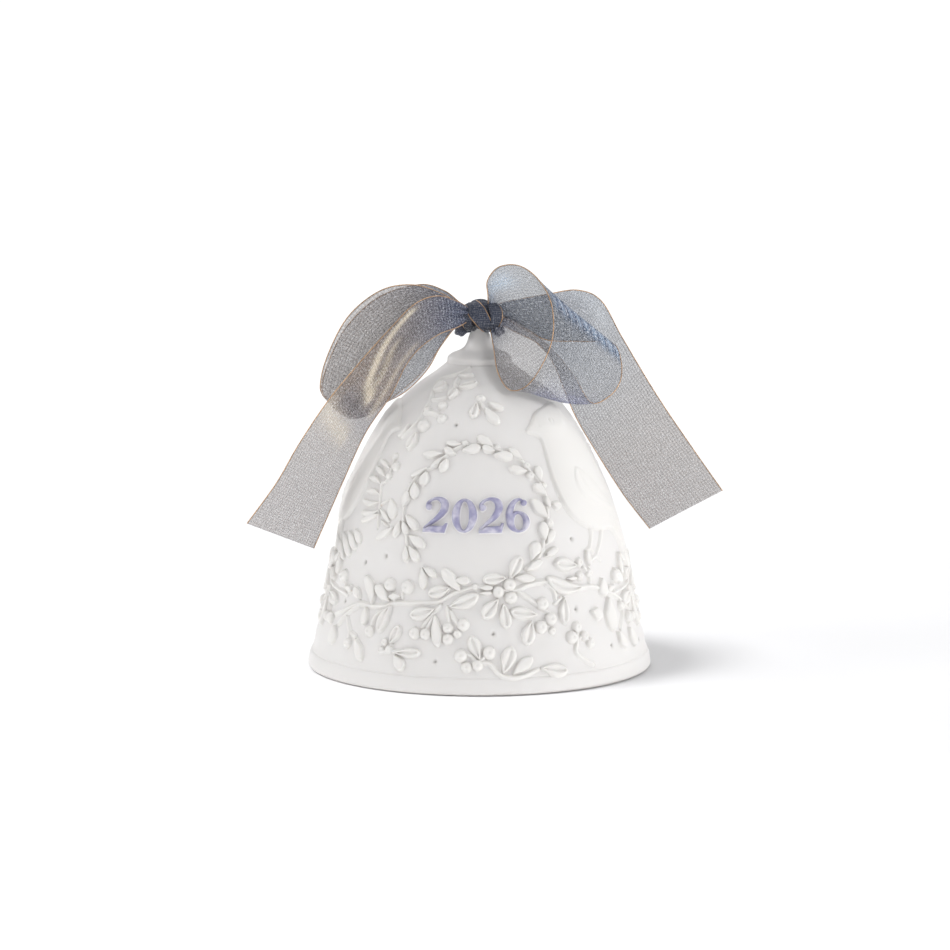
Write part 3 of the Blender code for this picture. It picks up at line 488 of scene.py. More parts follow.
def steel():
    mat, tree, shader = new_material("steel_wire")
    where = node(tree, "ShaderNodeTexCoord").outputs["Object"]
    drawn = node(tree, "ShaderNodeTexNoise", {"Vector": where, "Scale": 900.0, "Detail": 3.0})
    colour = mix_colour(tree, drawn.outputs[0], (0.52, 0.52, 0.54), (0.70, 0.70, 0.71))
    tree.links.new(colour, shader.inputs["Base Color"])
    shader.inputs["Metallic"].default_value = 1.0
    rough = node(tree, "ShaderNodeMapRange", {"Value": drawn.outputs[0], "To Min": 0.22, "To Max": 0.42})
    tree.links.new(rough.outputs[0], shader.inputs["Roughness"])
    return mat


def glaze():
    mat, tree, shader = new_material("glazed_ball")
    where = node(tree, "ShaderNodeTexCoord").outputs["Object"]
    cloud = node(tree, "ShaderNodeTexNoise", {"Vector": where, "Scale": 260.0, "Detail": 3.0})
    colour = mix_colour(tree, cloud.outputs[0], (0.82, 0.81, 0.79), (0.86, 0.85, 0.83))
    bump = node(tree, "ShaderNodeBump", {"Strength": 0.1, "Distance": 0.05 * MM, "Height": cloud.outputs[0]})
    tree.links.new(colour, shader.inputs["Base Color"])
    tree.links.new(bump.outputs[0], shader.inputs["Normal"])
    shader.inputs["Roughness"].default_value = 0.16
    shader.inputs["Coat Weight"].default_value = 0.5
    return mat


def organza(name, threads=1.45, grain=2.0, gloss=1.0, lines=0.34):
    """Sheer shot organza. 'weave' holds (along, across) in mm, 'tint' the colour of the shot
    silk there (with painted highlight and painted shade laid into it in places), and 'cover' how
    dense the gathered cloth is. Painted highlight glints and painted shade in the weave's hollows
    are mixed into the colour."""
    mat, tree, shader = new_material(name)
    where = node(tree, "ShaderNodeAttribute", attribute_name="weave").outputs["Vector"]
    tint = node(tree, "ShaderNodeAttribute", attribute_name="tint").outputs["Color"]
    cover = node(tree, "ShaderNodeAttribute", attribute_name="cover").outputs["Fac"]
    xyz = node(tree, "ShaderNodeSeparateXYZ", {"Vector": where})
    wander = node(tree, "ShaderNodeTexNoise", {"Vector": where, "Scale": 0.35, "Detail": 2.0})
    sway = math_node(tree, "MULTIPLY", math_node(tree, "SUBTRACT", wander.outputs[0], 0.5), 1.2)
    warp = math_node(tree, "SINE", math_node(tree, "MULTIPLY", math_node(tree, "ADD", xyz.outputs[1], sway), 2 * math.pi * threads))
    weft = math_node(tree, "SINE", math_node(tree, "MULTIPLY", math_node(tree, "ADD", xyz.outputs[0], sway), 2 * math.pi * threads))
    grid = math_node(tree, "MULTIPLY", math_node(tree, "ADD", warp, math_node(tree, "MULTIPLY", weft, 0.7)), 0.59)
    stretched = node(tree, "ShaderNodeMapping", {"Vector": where, "Scale": (0.55, 1.5, 1.0)})
    glint = node(tree, "ShaderNodeTexNoise", {"Vector": where, "Scale": grain, "Detail": 1.5, "Roughness": 0.6})
    slub = node(tree, "ShaderNodeTexNoise", {"Vector": stretched.outputs[0], "Scale": 1.5, "Detail": 2.0, "Roughness": 0.6})
    # painted highlight: pale glints where the glint noise is high
    speck = node(tree, "ShaderNodeMapRange", {"Value": glint.outputs[0], "From Min": 0.50, "From Max": 0.64})
    streaks = node(tree, "ShaderNodeMapRange", {"Value": slub.outputs[0], "From Min": 0.52, "From Max": 0.74})
    shine = math_node(tree, "ADD", math_node(tree, "MULTIPLY", speck.outputs[0], 0.75), math_node(tree, "MULTIPLY", streaks.outputs[0], 0.35))
    shine = math_node(tree, "ADD", math_node(tree, "MULTIPLY", shine, gloss), math_node(tree, "MULTIPLY", grid, lines))
    shine = node(tree, "ShaderNodeClamp", {"Value": shine}).outputs[0]
    density = math_node(tree, "ADD", cover, math_node(tree, "MULTIPLY", grid, 0.17))
    density = math_node(tree, "ADD", density, math_node(tree, "MULTIPLY", math_node(tree, "SUBTRACT", glint.outputs[0], 0.5), 0.55))
    alpha = node(tree, "ShaderNodeClamp", {"Value": density, "Min": 0.05, "Max": 1.0})
    pale = mix_colour(tree, 0.62, tint, (0.85, 0.86, 0.90))
    dark = mix_colour(tree, 0.55, tint, (0.03, 0.03, 0.04))
    # painted shade: darker specks in the weave's hollows where the glint noise is low
    hollow = node(tree, "ShaderNodeMapRange", {"Value": glint.outputs[0], "From Min": 0.47, "From Max": 0.33})
    base = mix_colour(tree, math_node(tree, "MULTIPLY", hollow.outputs[0], 0.7), tint, dark)
    # paler along the weave's threads and slubs, plus painted highlight glints at the specks
    colour = mix_colour(tree, shine, base, pale)
    bump = node(tree, "ShaderNodeBump", {"Strength": 0.5, "Distance": 0.12 * MM, "Height": grid})
    tree.links.new(colour, shader.inputs["Base Color"])
    tree.links.new(alpha.outputs[0], shader.inputs["Alpha"])
    tree.links.new(bump.outputs[0], shader.inputs["Normal"])
    rough = node(tree, "ShaderNodeMapRange", {"Value": glint.outputs[0], "To Min": 0.6, "To Max": 0.35})
    tree.links.new(rough.outputs[0], shader.inputs["Roughness"])
    shader.inputs["Metallic"].default_value = 0.1
    shader.inputs["Sheen Weight"].default_value = 0.2
    shader.inputs["Sheen Roughness"].default_value = 0.35
    shader.inputs["Sheen Tint"].default_value = (0.75, 0.82, 1.0, 1.0)
    return mat


def selvedge():
    mat, tree, shader = new_material("copper_selvedge")
    where = node(tree, "ShaderNodeTexCoord").outputs["Object"]
    twist = node(tree, "ShaderNodeTexNoise", {"Vector": where, "Scale": 520.0, "Detail": 2.0})
    colour = mix_colour(tree, twist.outputs[0], (0.27, 0.155, 0.09), (0.72, 0.48, 0.29))
    bump = node(tree, "ShaderNodeBump", {"Strength": 0.5, "Distance": 0.1 * MM, "Height": twist.outputs[0]})
    tree.links.new(colour, shader.inputs["Base Color"])
    tree.links.new(bump.outputs[0], shader.inputs["Normal"])
    shader.inputs["Metallic"].default_value = 0.65
    shader.inputs["Roughness"].default_value = 0.38
    return mat


STEEL, GLAZE, ORGANZA, SELVEDGE = steel(), glaze(), organza("organza"), selvedge()
ORGANZA_KNOT = organza("organza_knot", 1.9, 3.4, 0.26, 0.12)


# ======================================================================================
# bell shell
# ======================================================================================
DIMPLES = [(-5.4, 55.8), (-21.7, 25.3), (-26.5, 23.9), (-10.3, 0.8), (3.2, 7.2), (22.4, 13.0),
           (30.8, 4.6), (21.4, 29.3)]


def bell_shell():
    front = np.linspace(-76, 76, 340)
    back = np.linspace(76, 284, 200)[1:-1]
    angles = np.concatenate([front, back])
    n = len(angles)
    pits = [tuple(p) for p in cast(DIMPLES)]
    pits += [(a + 90, z) for a, z in pits[2:6]] + [(a + 180, z) for a, z in pits] + [(a + 262, z) for a, z in pits[3:6]]
    rows, pricks = [], []
    lip = [(39.05, 0.0), (39.45, 0.06), (39.78, 0.28), (39.95, 0.65)]
    for r, z in lip:
        rows.append((np.full(n, r), np.full(n, z)))
        pricks.append(np.zeros(n))
    heights = np.concatenate([np.linspace(0.95, 3.3, 5), np.linspace(3.5, 4.5, 9), np.linspace(4.8, 66.6, 150),
                              np.linspace(67.0, 70.7, 12)])
    for z in heights:
        r = radius(z) - 0.17 * math.exp(-((z - 3.92) / 0.16) ** 2)
        bulge, prick = np.zeros(n), np.zeros(n)
        for pa, pz in pits:
            da = (angles - pa + 180) % 360 - 180
            d2 = (np.radians(da) * radius(z)) ** 2 + ((z - pz) * math.hypot(1, float(slope(z)))) ** 2
            bulge -= 0.45 * np.exp(-d2 / 0.20)
            prick = np.maximum(prick, np.exp(-d2 / 0.10))
        pricks.append(prick)
        a = np.radians(angles)
        hand = 0.035 * (np.sin(3 * a + 0.09 * z) + 0.6 * np.sin(7 * a - 0.16 * z)) * smooth((z - 5) / 6)
        s = float(slope(z))
        k = 1 / math.hypot(1, s)
        lift = bulge + hand
        rows.append((r + lift * k, z - lift * s * k + np.zeros(n)))
    outer_rows = len(rows)
    inner = [(7.0, 70.7), (0.02, 70.7)]
    verts, faces = [], []
    a = np.radians(angles)
    for r, z in rows:
        verts.append(np.stack([r * np.sin(a), -r * np.cos(a), z], axis=1))
    for i in range(outer_rows - 1):
        for k in range(n):
            j = (k + 1) % n
            faces.append((i * n + k, i * n + j, (i + 1) * n + j, (i + 1) * n + k))
    # crown top, under the shoulder ring
    top = outer_rows * n
    verts.append(np.array([[0.0, 0.0, 70.7]]))
    for k in range(n):
        faces.append(((outer_rows - 1) * n + k, (outer_rows - 1) * n + (k + 1) % n, top))
    # inside: rim land, wall and ceiling, at a coarser pitch that shares the lip's outer edge
    inside = [(38.3, 0.0), (37.2, 0.0), (36.75, 0.12), (36.55, 0.5)]
    for z in np.concatenate([np.linspace(1.2, 62.0, 44), np.linspace(62.8, 65.6, 5)]):
        drop = WALL * math.hypot(1, float(slope(max(z, 1.2))))
        inside.append((float(radius(z)) - min(drop, 3.4), float(z)))
    inside += [(8.2, 66.7), (6.6, 67.3), (5.2, 67.6), (2.5, 67.6)]
    start = top + 1
    previous = 0
    for q, (r, z) in enumerate(inside):
        verts.append(np.stack([r * np.sin(a), -r * np.cos(a), np.full(n, z)], axis=1))
        here = start + q * n
        for k in range(n):
            j = (k + 1) % n
            faces.append((previous + j, previous + k, here + k, here + j))
        previous = here
    verts.append(np.array([[0.0, 0.0, 67.6]]))
    centre = start + len(inside) * n
    for k in range(n):
        faces.append((previous + (k + 1) % n, previous + k, centre))
    verts = np.vstack(verts)
    obj = mesh_object("bell_wall", verts, faces, PORCELAIN)
    pit_shade = np.zeros(len(verts))
    # painted shade: the pin-prick dimples are marked so the bisque colour darkens in them
    pit_shade[:outer_rows * n] = np.concatenate(pricks)
    point_attribute(obj, "pit_shade", pit_shade)
    return obj


wall = bell_shell()
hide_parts("bell_shell")
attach(wall, "bell")


# ======================================================================================
# crown and lug
# ======================================================================================
def crown():
    """Shoulder ring that sweeps up through a hollow curve into the eye lug."""
    levels = [  # height, half across (X), half deep (Y), squareness
        (70.5, 7.55, 7.55, 2.0), (70.9, 7.5, 7.5, 2.0), (71.25, 7.42, 7.42, 2.0), (71.7, 7.42, 7.42, 2.0),
        (72.1, 7.25, 7.25, 2.0), (72.5, 6.85, 6.85, 2.0), (72.9, 6.2, 6.35, 2.05), (73.2, 5.4, 5.9, 2.1),
        (73.5, 4.6, 5.5, 2.2), (73.9, 3.95, 5.1, 2.3), (74.5, 3.35, 4.75, 2.4), (75.3, 2.95, 4.4, 2.5),
        (76.2, 2.65, 4.1, 2.5), (77.2, 2.42, 3.85, 2.5), (78.2, 2.2, 3.7, 2.5), (79.2, 2.0, 3.58, 2.5),
        (80.2, 1.85, 3.35, 2.4), (81.1, 1.68, 2.85, 2.3), (81.8, 1.4, 2.15, 2.2), (82.25, 1.0, 1.4, 2.1),
        (82.5, 0.5, 0.6, 2.0)]
    dense = spline(levels, 64)
    n = 72
    a = np.arange(n) * 2 * math.pi / n
    verts, faces = [], []
    for z, hx, hy, p in dense:
        c, s = np.cos(a), np.sin(a)
        x = hx * np.sign(c) * np.abs(c) ** (2 / p)
        y = hy * np.sign(s) * np.abs(s) ** (2 / p)
        verts.append(np.stack([x, y, np.full(n, z)], axis=1))
    rows = len(verts)
    for i in range(rows - 1):
        for k in range(n):
            j = (k + 1) % n
            faces.append((i * n + k, i * n + j, (i + 1) * n + j, (i + 1) * n + k))
    faces.append(tuple(range(n - 1, -1, -1)))
    faces.append(tuple(range((rows - 1) * n, rows * n)))
    body = mesh_object("crown_eye_lug", np.vstack(verts), faces, PORCELAIN)
    ring = []
    for x, r in [(-7, 3.6), (-2.6, 2.75), (-1.9, 2.3), (-1.2, 2.2), (1.2, 2.2), (1.9, 2.3), (2.6, 2.75), (7, 3.6)]:
        t = np.arange(40) * 2 * math.pi / 40
        ring.append(np.stack([np.full(40, float(x)), r * np.cos(t), 79.0 + r * np.sin(t)], axis=1))
    bore_faces = [tuple(range(39, -1, -1)), tuple(range(280, 320))]
    for i in range(7):
        for k in range(40):
            j = (k + 1) % 40
            bore_faces.append((i * 40 + k, i * 40 + j, (i + 1) * 40 + j, (i + 1) * 40 + k))
    bore = mesh_object("eye_bore", np.vstack(ring), bore_faces, PORCELAIN)
    cut = body.modifiers.new("eye", "BOOLEAN")
    cut.operation, cut.solver, cut.object = "DIFFERENCE", "EXACT", bore
    bpy.context.view_layer.update()
    made = bpy.data.meshes.new_from_object(body.evaluated_get(bpy.context.evaluated_depsgraph_get()))
    body.modifiers.clear()
    body.data = made
    made.shade_smooth()
    made.set_sharp_from_angle(angle=math.radians(50))
    bpy.data.objects.remove(bore, do_unlink=True)
    return body


lug = crown()
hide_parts("crown_lug")
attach(lug, "bell")


# ======================================================================================
# relief: leaves, berries and twigs
# ======================================================================================
GARLAND_LEFT = Sprig(
    [(-13.1, 22.8, -12.9, 17.6, 1.8), (-12.9, 22.8, -9.9, 20.4, 1.5), (-4.3, 17.0, -8.5, 22.3, 2.5),
     (-5.9, 19.7, -2.2, 19.5, 1.8), (-6.6, 17.9, -11.8, 16.4, 2.5, 1), (-7.1, 13.5, -0.3, 16.3, 2.9, 1, -0.05),
     (-10.3, 13.0, -16.1, 11.6, 2.7, 1, 0.05), (-10.3, 11.6, -9.6, 4.2, 2.2), (-24.7, 13.9, -26.1, 20.9, 1.8, 0, -0.08),
     (-20.8, 14.9, -23.8, 18.5, 2.2), (-18.0, 16.0, -20.8, 15.8, 1.3), (-20.3, 13.9, -23.3, 7.7, 2.2, 1, -0.06),
     (-26.0, 13.5, -26.8, 9.3, 1.3), (-27.5, 15.3, -28.7, 17.9, 1.3), (-33.3, 9.3, -34.3, 4.9, 1.5),
     (-28.4, 6.3, -27.3, 0.9, 1.6)],
    [(-15.0, 7.4, 1.34), (-12.5, 7.2, 1.23), (-7.3, 8.6, 1.23), (-7.3, 6.0, 1.23), (-3.8, 9.3, 1.34),
     (-5.2, 7.2, 0.89), (-20.6, 18.6, 1.45), (-16.6, 18.1, 1.5), (-25.4, 7.9, 1.23), (-30.5, 5.1, 1.12)],
    [[(-33.5, 11.8), (-31.5, 12.6), (-29.6, 13.5), (-27.5, 14.2), (-25.2, 13.7), (-21.7, 13.7), (-19.4, 14.4), (-14.3, 14.4),
      (-10.3, 14.6), (-8.9, 14.9), (-6.4, 16.5), (-4.3, 17.2), (-1.0, 18.1), (3.1, 17.9)],
     [(-8.5, 14.2), (-11.0, 11.6), (-13.6, 8.4)], [(-10.3, 11.8), (-12.4, 8.1)], [(-7.5, 13.9), (-7.1, 10.0), (-7.3, 6.7)],
     [(-6.9, 13.0), (-5.9, 10.5), (-4.3, 9.1)], [(-17.8, 15.1), (-17.8, 17.0), (-16.8, 17.9)],
     [(-19.4, 14.4), (-20.1, 17.0)], [(-20.3, 13.7), (-24.0, 11.4), (-25.2, 8.6)],
     [(-27.5, 14.2), (-30.8, 11.8), (-32.9, 9.1)], [(-30.8, 11.8), (-30.1, 7.7), (-30.5, 5.6)], [(-30.1, 7.7), (-28.4, 6.3)]])
GARLAND_RIGHT = Sprig(
    [(0.1, 17.9, 3.1, 17.9, 1.3), (0.1, 16.7, 2.9, 16.7, 0.9), (6.2, 20.2, 0.8, 19.7, 2.5, 1), (7.0, 20.0, 9.5, 25.1, 2.5, 1),
     (8.0, 20.4, 12.7, 20.0, 1.8), (4.3, 15.3, 0.9, 10.9, 2.9, 1), (5.5, 14.2, 6.4, 8.6, 2.5, 1),
     (13.4, 11.7, 7.0, 12.3, 2.7, 1), (12.0, 10.2, 10.8, 4.6, 2.7, 1), (19.4, 15.8, 19.6, 9.4, 2.2, 1),
     (23.8, 18.3, 15.4, 20.2, 2.9, 1, 0.12), (22.3, 23.1, 17.3, 23.6, 2.7, 1), (12.0, 24.4, 13.4, 28.3, 1.8),
     (10.7, 22.2, 14.3, 24.1, 1.6), (15.2, 25.8, 18.0, 26.9, 1.3), (24.4, 26.7, 25.4, 23.1, 1.1),
     (20.1, 20.0, 22.2, 20.2, 0.9), (29.6, 15.8, 30.8, 8.1, 2.2), (28.0, 20.2, 28.9, 16.0, 1.8),
     (30.8, 22.4, 32.6, 19.5, 1.6), (34.4, 8.8, 36.0, 4.6, 1.5), (31.9, 7.7, 33.7, 4.2, 1.3)],
    [(-1.0, 18.1, 0.78), (4.3, 17.0, 1.34), (6.9, 18.6, 1.41), (7.2, 15.7, 1.41), (14.5, 14.2, 1.45), (16.4, 10.7, 1.45),
     (14.2, 8.8, 1.45), (16.8, 7.9, 0.89), (23.0, 23.8, 1.01), (25.2, 21.4, 1.01), (23.1, 20.7, 1.01),
     (32.6, 13.7, 1.12), (34.3, 11.6, 1.12)],
    [[(3.1, 17.9), (5.7, 17.4), (8.5, 17.4), (11.3, 18.7), (15.0, 19.3), (18.7, 18.6), (22.2, 17.9), (25.7, 18.3),
      (28.9, 17.4), (32.2, 15.6), (34.5, 12.8)],
     [(8.5, 17.4), (11.7, 15.1), (15.0, 12.8), (16.4, 11.4), (14.3, 9.3)], [(11.7, 15.1), (13.8, 13.7)],
     [(17.1, 13.9), (18.2, 15.1), (19.4, 15.8)], [(15.0, 19.3), (17.1, 17.4), (17.8, 14.6)],
     [(25.7, 18.3), (25.2, 20.9), (23.8, 23.0)], [(32.2, 15.6), (33.1, 12.3), (32.6, 8.1)]])
LOWER_LEFT = Sprig(
    [(-20.6, 4.9, -18.5, 9.1, 2.0, 1), (-19.4, 2.8, -13.6, 2.8, 2.0, 1), (-19.6, 2.3, -17.8, -1.2, 2.2)],
    [(-21.9, 5.3, 0.89), (-20.8, 3.6, 1.01), (-22.6, 3.6, 0.67)],
    [[(-23.6, 3.0), (-21.2, 3.3), (-18.9, 3.0), (-16.6, 3.0)], [(-21.2, 3.3), (-20.1, 5.3)]])
LOWER_RIGHT = Sprig(
    [(25.7, 12.5, 28.2, 11.4, 2.2)],
    [(22.4, 8.8, 1.23), (21.3, 6.4, 1.45), (24.2, 6.7, 1.12), (25.6, 5.1, 1.12)],
    [[(22.4, 8.6), (22.6, 5.8), (22.3, 3.0), (24.0, 1.4), (26.8, -0.1)], [(22.6, 5.8), (24.0, 6.7), (25.4, 5.3)],
     [(22.6, 5.3), (21.5, 6.3)]])
BOTTOM = Sprig(
    [(0.1, 1.2, -2.0, 6.6, 2.5, 1), (5.5, -2.0, 7.5, 4.3, 3.1, 1), (7.7, -2.2, 12.1, 1.9, 2.5), (14.1, -0.7, 20.3, -1.4, 2.7, 1)],
    [(-4.3, 2.1, 1.41), (-3.0, -0.5, 1.16), (-0.5, 0.0, 1.21), (2.2, 2.8, 1.41)],
    [[(-4.1, 2.1), (-2.3, 2.3), (-0.3, 0.6), (2.4, 0.3), (5.2, -2.5), (9.4, -2.8), (14.1, -0.7)], [(-0.3, 0.6), (1.7, 2.3)]])
TOP_LEFT = Sprig(
    [(-7.1, 61.5, -5.5, 63.9, 2.0, 1), (-4.8, 64.1, -0.6, 65.3, 1.8, 1), (-4.8, 66.7, -1.3, 67.1, 1.1),
     (-14.3, 53.9, -16.6, 49.9, 2.0, 1), (-15.9, 55.7, -18.6, 52.6, 0.9), (-10.6, 63.4, -7.8, 65.3, 2.7, 1)],
    [(-8.6, 60.1, 1.03), (-8.7, 57.2, 1.03), (-12.0, 59.0, 0.89), (-12.9, 55.5, 1.45)],
    [[(-2.0, 69.2), (-4.3, 67.8), (-8.7, 66.4), (-10.6, 64.3), (-11.4, 61.5), (-13.2, 58.4), (-14.5, 56.2), (-18.2, 52.5)],
     [(-11.4, 61.5), (-8.7, 61.8), (-6.6, 62.5)], [(-13.2, 58.4), (-10.6, 58.5), (-8.7, 57.4)],
     [(-4.3, 67.8), (-5.5, 65.3), (-4.5, 64.1)]])
TOP_CENTRE = Sprig(
    [(-0.6, 60.6, -1.7, 57.1, 2.0, 1), (1.2, 59.5, 4.6, 55.7, 2.0), (2.0, 60.6, 5.5, 59.2, 1.8)],
    [(0.2, 61.8, 1.03)], [[(0.2, 61.8), (0.6, 60.1), (1.5, 59.0)]])
SIDE_LEFT = Sprig(
    [(-22.8, 35.1, -27.3, 33.4, 1.1), (-19.6, 32.0, -23.8, 29.3, 1.3), (-20.3, 38.6, -19.9, 33.7, 2.0),
     (-22.9, 39.6, -25.9, 40.2, 1.1, 0, -0.08), (-22.6, 42.0, -25.2, 43.4, 1.0, 0, -0.08),
     (-22.9, 36.4, -20.6, 33.0, 0.9), (-21.4, 43.4, -23.6, 46.0, 1.0), (-20.4, 45.4, -22.6, 47.6, 0.9),
     (-22.9, 36.0, -27.2, 35.6, 1.3, 0, 0.12), (-22.8, 37.8, -26.8, 38.4, 1.2, 0, 0.10),
     (-32.4, 30.4, -31.2, 24.6, 1.5), (-31.2, 31.0, -29.8, 25.2, 1.5), (-30.0, 31.2, -28.5, 26.8, 1.4), (-28.6, 31.6, -27.4, 28.2, 1.2)],
    [(-19.2, 46.0, 1.12), (-19.4, 48.3, 0.89), (-20.9, 43.7, 0.89)],
    [[(-23.6, 31.4), (-23.0, 37.2), (-22.5, 42.0), (-21.5, 42.7), (-20.3, 45.3), (-19.4, 48.1)], [(-23.0, 37.2), (-20.6, 38.3)],
     [(-22.9, 33.7), (-20.8, 32.0)]])
WREATH = Sprig(
    [(-16.1, 27.7, -14.2, 24.0, 1.7), (-16.7, 27.7, -17.0, 23.9, 1.4), (-16.1, 30.1, -12.6, 27.3, 2.0),
     (-17.5, 33.5, -16.7, 30.2, 1.3), (-18.1, 33.5, -19.6, 29.6, 1.3), (-16.9, 34.8, -14.2, 31.3, 1.7),
     (-17.5, 36.5, -16.4, 40.3, 1.6), (-14.7, 42.4, -15.1, 38.5, 1.9), (-12.1, 44.8, -13.3, 41.6, 1.9),
     (-11.7, 45.7, -15.7, 43.6, 1.1), (-8.3, 48.9, -12.9, 48.8, 1.6), (-7.4, 47.7, -9.0, 44.9, 1.7),
     (-8.0, 48.3, -11.3, 45.5, 1.1), (-4.1, 51.1, -7.6, 51.4, 1.4), (-5.6, 48.9, -8.0, 50.1, 1.7),
     (-3.9, 49.8, 0.3, 50.5, 1.9), (3.1, 50.5, -0.3, 53.0, 2.1), (3.6, 49.5, 0.6, 50.5, 1.6), (3.3, 48.8, 7.7, 48.3, 2.1),
     (9.8, 47.4, 6.8, 50.2, 1.6), (10.8, 44.9, 6.8, 45.6, 1.7), (13.9, 42.4, 13.2, 46.1, 1.7), (15.1, 39.4, 12.6, 41.9, 1.9),
     (15.5, 34.1, 12.1, 38.4, 2.3), (15.1, 39.1, 16.0, 36.5, 1.1), (15.0, 28.8, 14.5, 33.2, 2.1), (15.4, 28.2, 17.0, 31.1, 1.7),
     (12.1, 24.9, 13.5, 28.5, 2.3), (15.1, 25.2, 17.9, 27.0, 1.4), (10.7, 21.9, 14.2, 24.3, 1.7), (16.6, 37.3, 18.7, 36.8, 1.7)],
    [(-16.0, 41.9, 0.51), (-3.4, 51.3, 0.8), (4.0, 50.5, 0.71), (10.8, 46.2, 0.86), (11.7, 43.9, 0.91), (14.8, 41.8, 0.71),
     (16.1, 32.9, 1.0), (14.5, 26.7, 0.71)],
    [[(-15.3, 24.9), (-16.6, 27.6), (-17.0, 30.8), (-17.5, 35.6), (-16.0, 41.5), (-13.3, 44.8), (-10.4, 46.1), (-7.4, 48.9),
      (-4.7, 50.7), (-2.4, 51.1)],
     [(-0.6, 51.6), (1.2, 51.3), (3.7, 50.1), (6.5, 48.9), (9.5, 47.4), (11.6, 45.0), (13.6, 42.7), (15.1, 39.4),
      (15.7, 34.4), (14.8, 28.5), (13.9, 25.5), (10.4, 21.9)]])
SIDE_BRANCH = Sprig(
    [(112.5, 38.0, 105.5, 41.0, 1.8, 0, 0.08), (113.2, 40.0, 119.5, 41.6, 1.8, 0, -0.08), (113.6, 42.5, 107.0, 46.4, 1.8, 1, 0.08),
     (113.4, 45.0, 120.6, 48.0, 1.8, 1, -0.08), (112.4, 48.0, 105.6, 50.4, 1.6, 0, 0.08), (111.8, 49.4, 117.6, 52.6, 1.6)],
    [(110.0, 52.6, 1.2), (107.6, 51.8, 0.9), (115.8, 43.9, 1.0), (110.0, 44.4, 0.9)],
    [[(112, 35.6), (113.6, 40.0), (113.6, 44.6), (112.0, 49.2), (110.2, 52.0)]], drawn=False)
BACK_BRANCH = Sprig(
    [(171.5, 37.2, 167.6, 42.2, 2.2, 1, 0.06), (174, 38.6, 181, 36.2, 2.2, 0, -0.08), (178, 40.8, 174.4, 46.6, 2.2, 1, 0.06),
     (181, 42.8, 189, 41.2, 2.2, 1, -0.08), (185, 45.6, 181.4, 51.2, 2.0, 0, 0.06), (187.0, 47.2, 194.0, 46.6, 1.9)],
    [(190.5, 51.0, 1.2), (193.2, 49.6, 1.0), (184.0, 40.2, 1.1), (172.2, 42.6, 1.0)],
    [[(168, 35.2), (172.6, 37.8), (178.4, 41.0), (184, 44.8), (190, 50.2)], [(187, 47.2), (192.6, 49.2)]], drawn=False)

FRONT = GARLAND_LEFT + GARLAND_RIGHT
BACK = FRONT.turned(180, mirror=True)
RIGHT = FRONT.turned(91)
LEFT = FRONT.turned(269, mirror=True)


def relief(name, parts, *nodes, lift=0.95, half=0.46):
    verts, faces = joined([b for part in parts for b in part.bodies(lift, half)])
    obj = mesh_object(name, verts, faces, RELIEF)
    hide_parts(*nodes)
    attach(obj, "bell")
    return obj


relief("garland_front_left_relief", [GARLAND_LEFT], "garland_front_left")
relief("garland_front_right_relief", [GARLAND_RIGHT], "garland_front_right")
relief("garland_right_relief", [RIGHT.between(59, 122)], "garland_right")
relief("garland_back_relief", [BACK.between(122, 237)], "garland_back")
relief("garland_left_relief", [LEFT.between(237, 302)], "garland_left")
relief("wreath_relief", [WREATH], "wreath", lift=1.0, half=0.38)
relief("sprig_lower_left_relief", [LOWER_LEFT], "sprig_lower_left")
relief("sprig_lower_right_relief", [LOWER_RIGHT], "sprig_lower_right")
relief("sprig_bottom_relief", [BOTTOM], "sprig_bottom")
relief("sprig_top_left_relief", [TOP_LEFT], "sprig_top_left")
relief("sprig_top_centre_relief", [TOP_CENTRE], "sprig_top_centre")
relief("sprig_side_left_relief", [SIDE_LEFT], "sprig_side_left", lift=0.72, half=0.34)
relief("sprig_side_right_relief", [SIDE_BRANCH], "sprig_side_right")
relief("sprig_back_relief", [BACK_BRANCH], "sprig_back")


# ======================================================================================
# relief drawn as height fields: numerals and birds
# ======================================================================================
def off_polygon(p, outline):
    """Signed distance (mm, negative inside) from points to a closed outline."""
    a = np.asarray(outline, float)
    b = np.roll(a, -1, axis=0)
    e = b - a
    d = np.full(len(p), 1e9)
    inside = np.zeros(len(p), bool)
    for (ax, ay), (bx, by), (ex, ey) in zip(a, b, e):
        wx, wy = p[:, 0] - ax, p[:, 1] - ay
        t = np.clip((wx * ex + wy * ey) / (ex * ex + ey * ey + 1e-12), 0, 1)
        d = np.minimum(d, np.hypot(wx - ex * t, wy - ey * t))
        cross = ((ay > p[:, 1]) != (by > p[:, 1])) & (
            p[:, 0] < ex * (p[:, 1] - ay) / (ey if abs(ey) > 1e-12 else 1e-12) + ax)
        inside ^= cross
    return np.where(inside, -d, d)


def off_stroke(p, path, widths, count=40):
    """Signed distance to a pen stroke whose width varies along its path."""
    line = spline([(x, y, w) for (x, y), w in zip(path, widths)], count)
    d = np.full(len(p), 1e9)
    for i in range(count - 1):
        a, b = line[i], line[i + 1]
        e = b[:2] - a[:2]
        w = p - a[:2]
        t = np.clip((w @ e) / (e @ e + 1e-12), 0, 1)
        d = np.minimum(d, np.hypot(*(w - t[:, None] * e).T) - 0.5 * (a[2] + (b[2] - a[2]) * t))
    return d


def off_ellipse(p, cx, cy, rx, ry):
    x, y = p[:, 0] - cx, p[:, 1] - cy
    f = np.hypot(x / rx, y / ry)
    g = np.hypot(x / rx ** 2, y / ry ** 2)
    return f * (f - 1) / np.maximum(g, 1e-9)


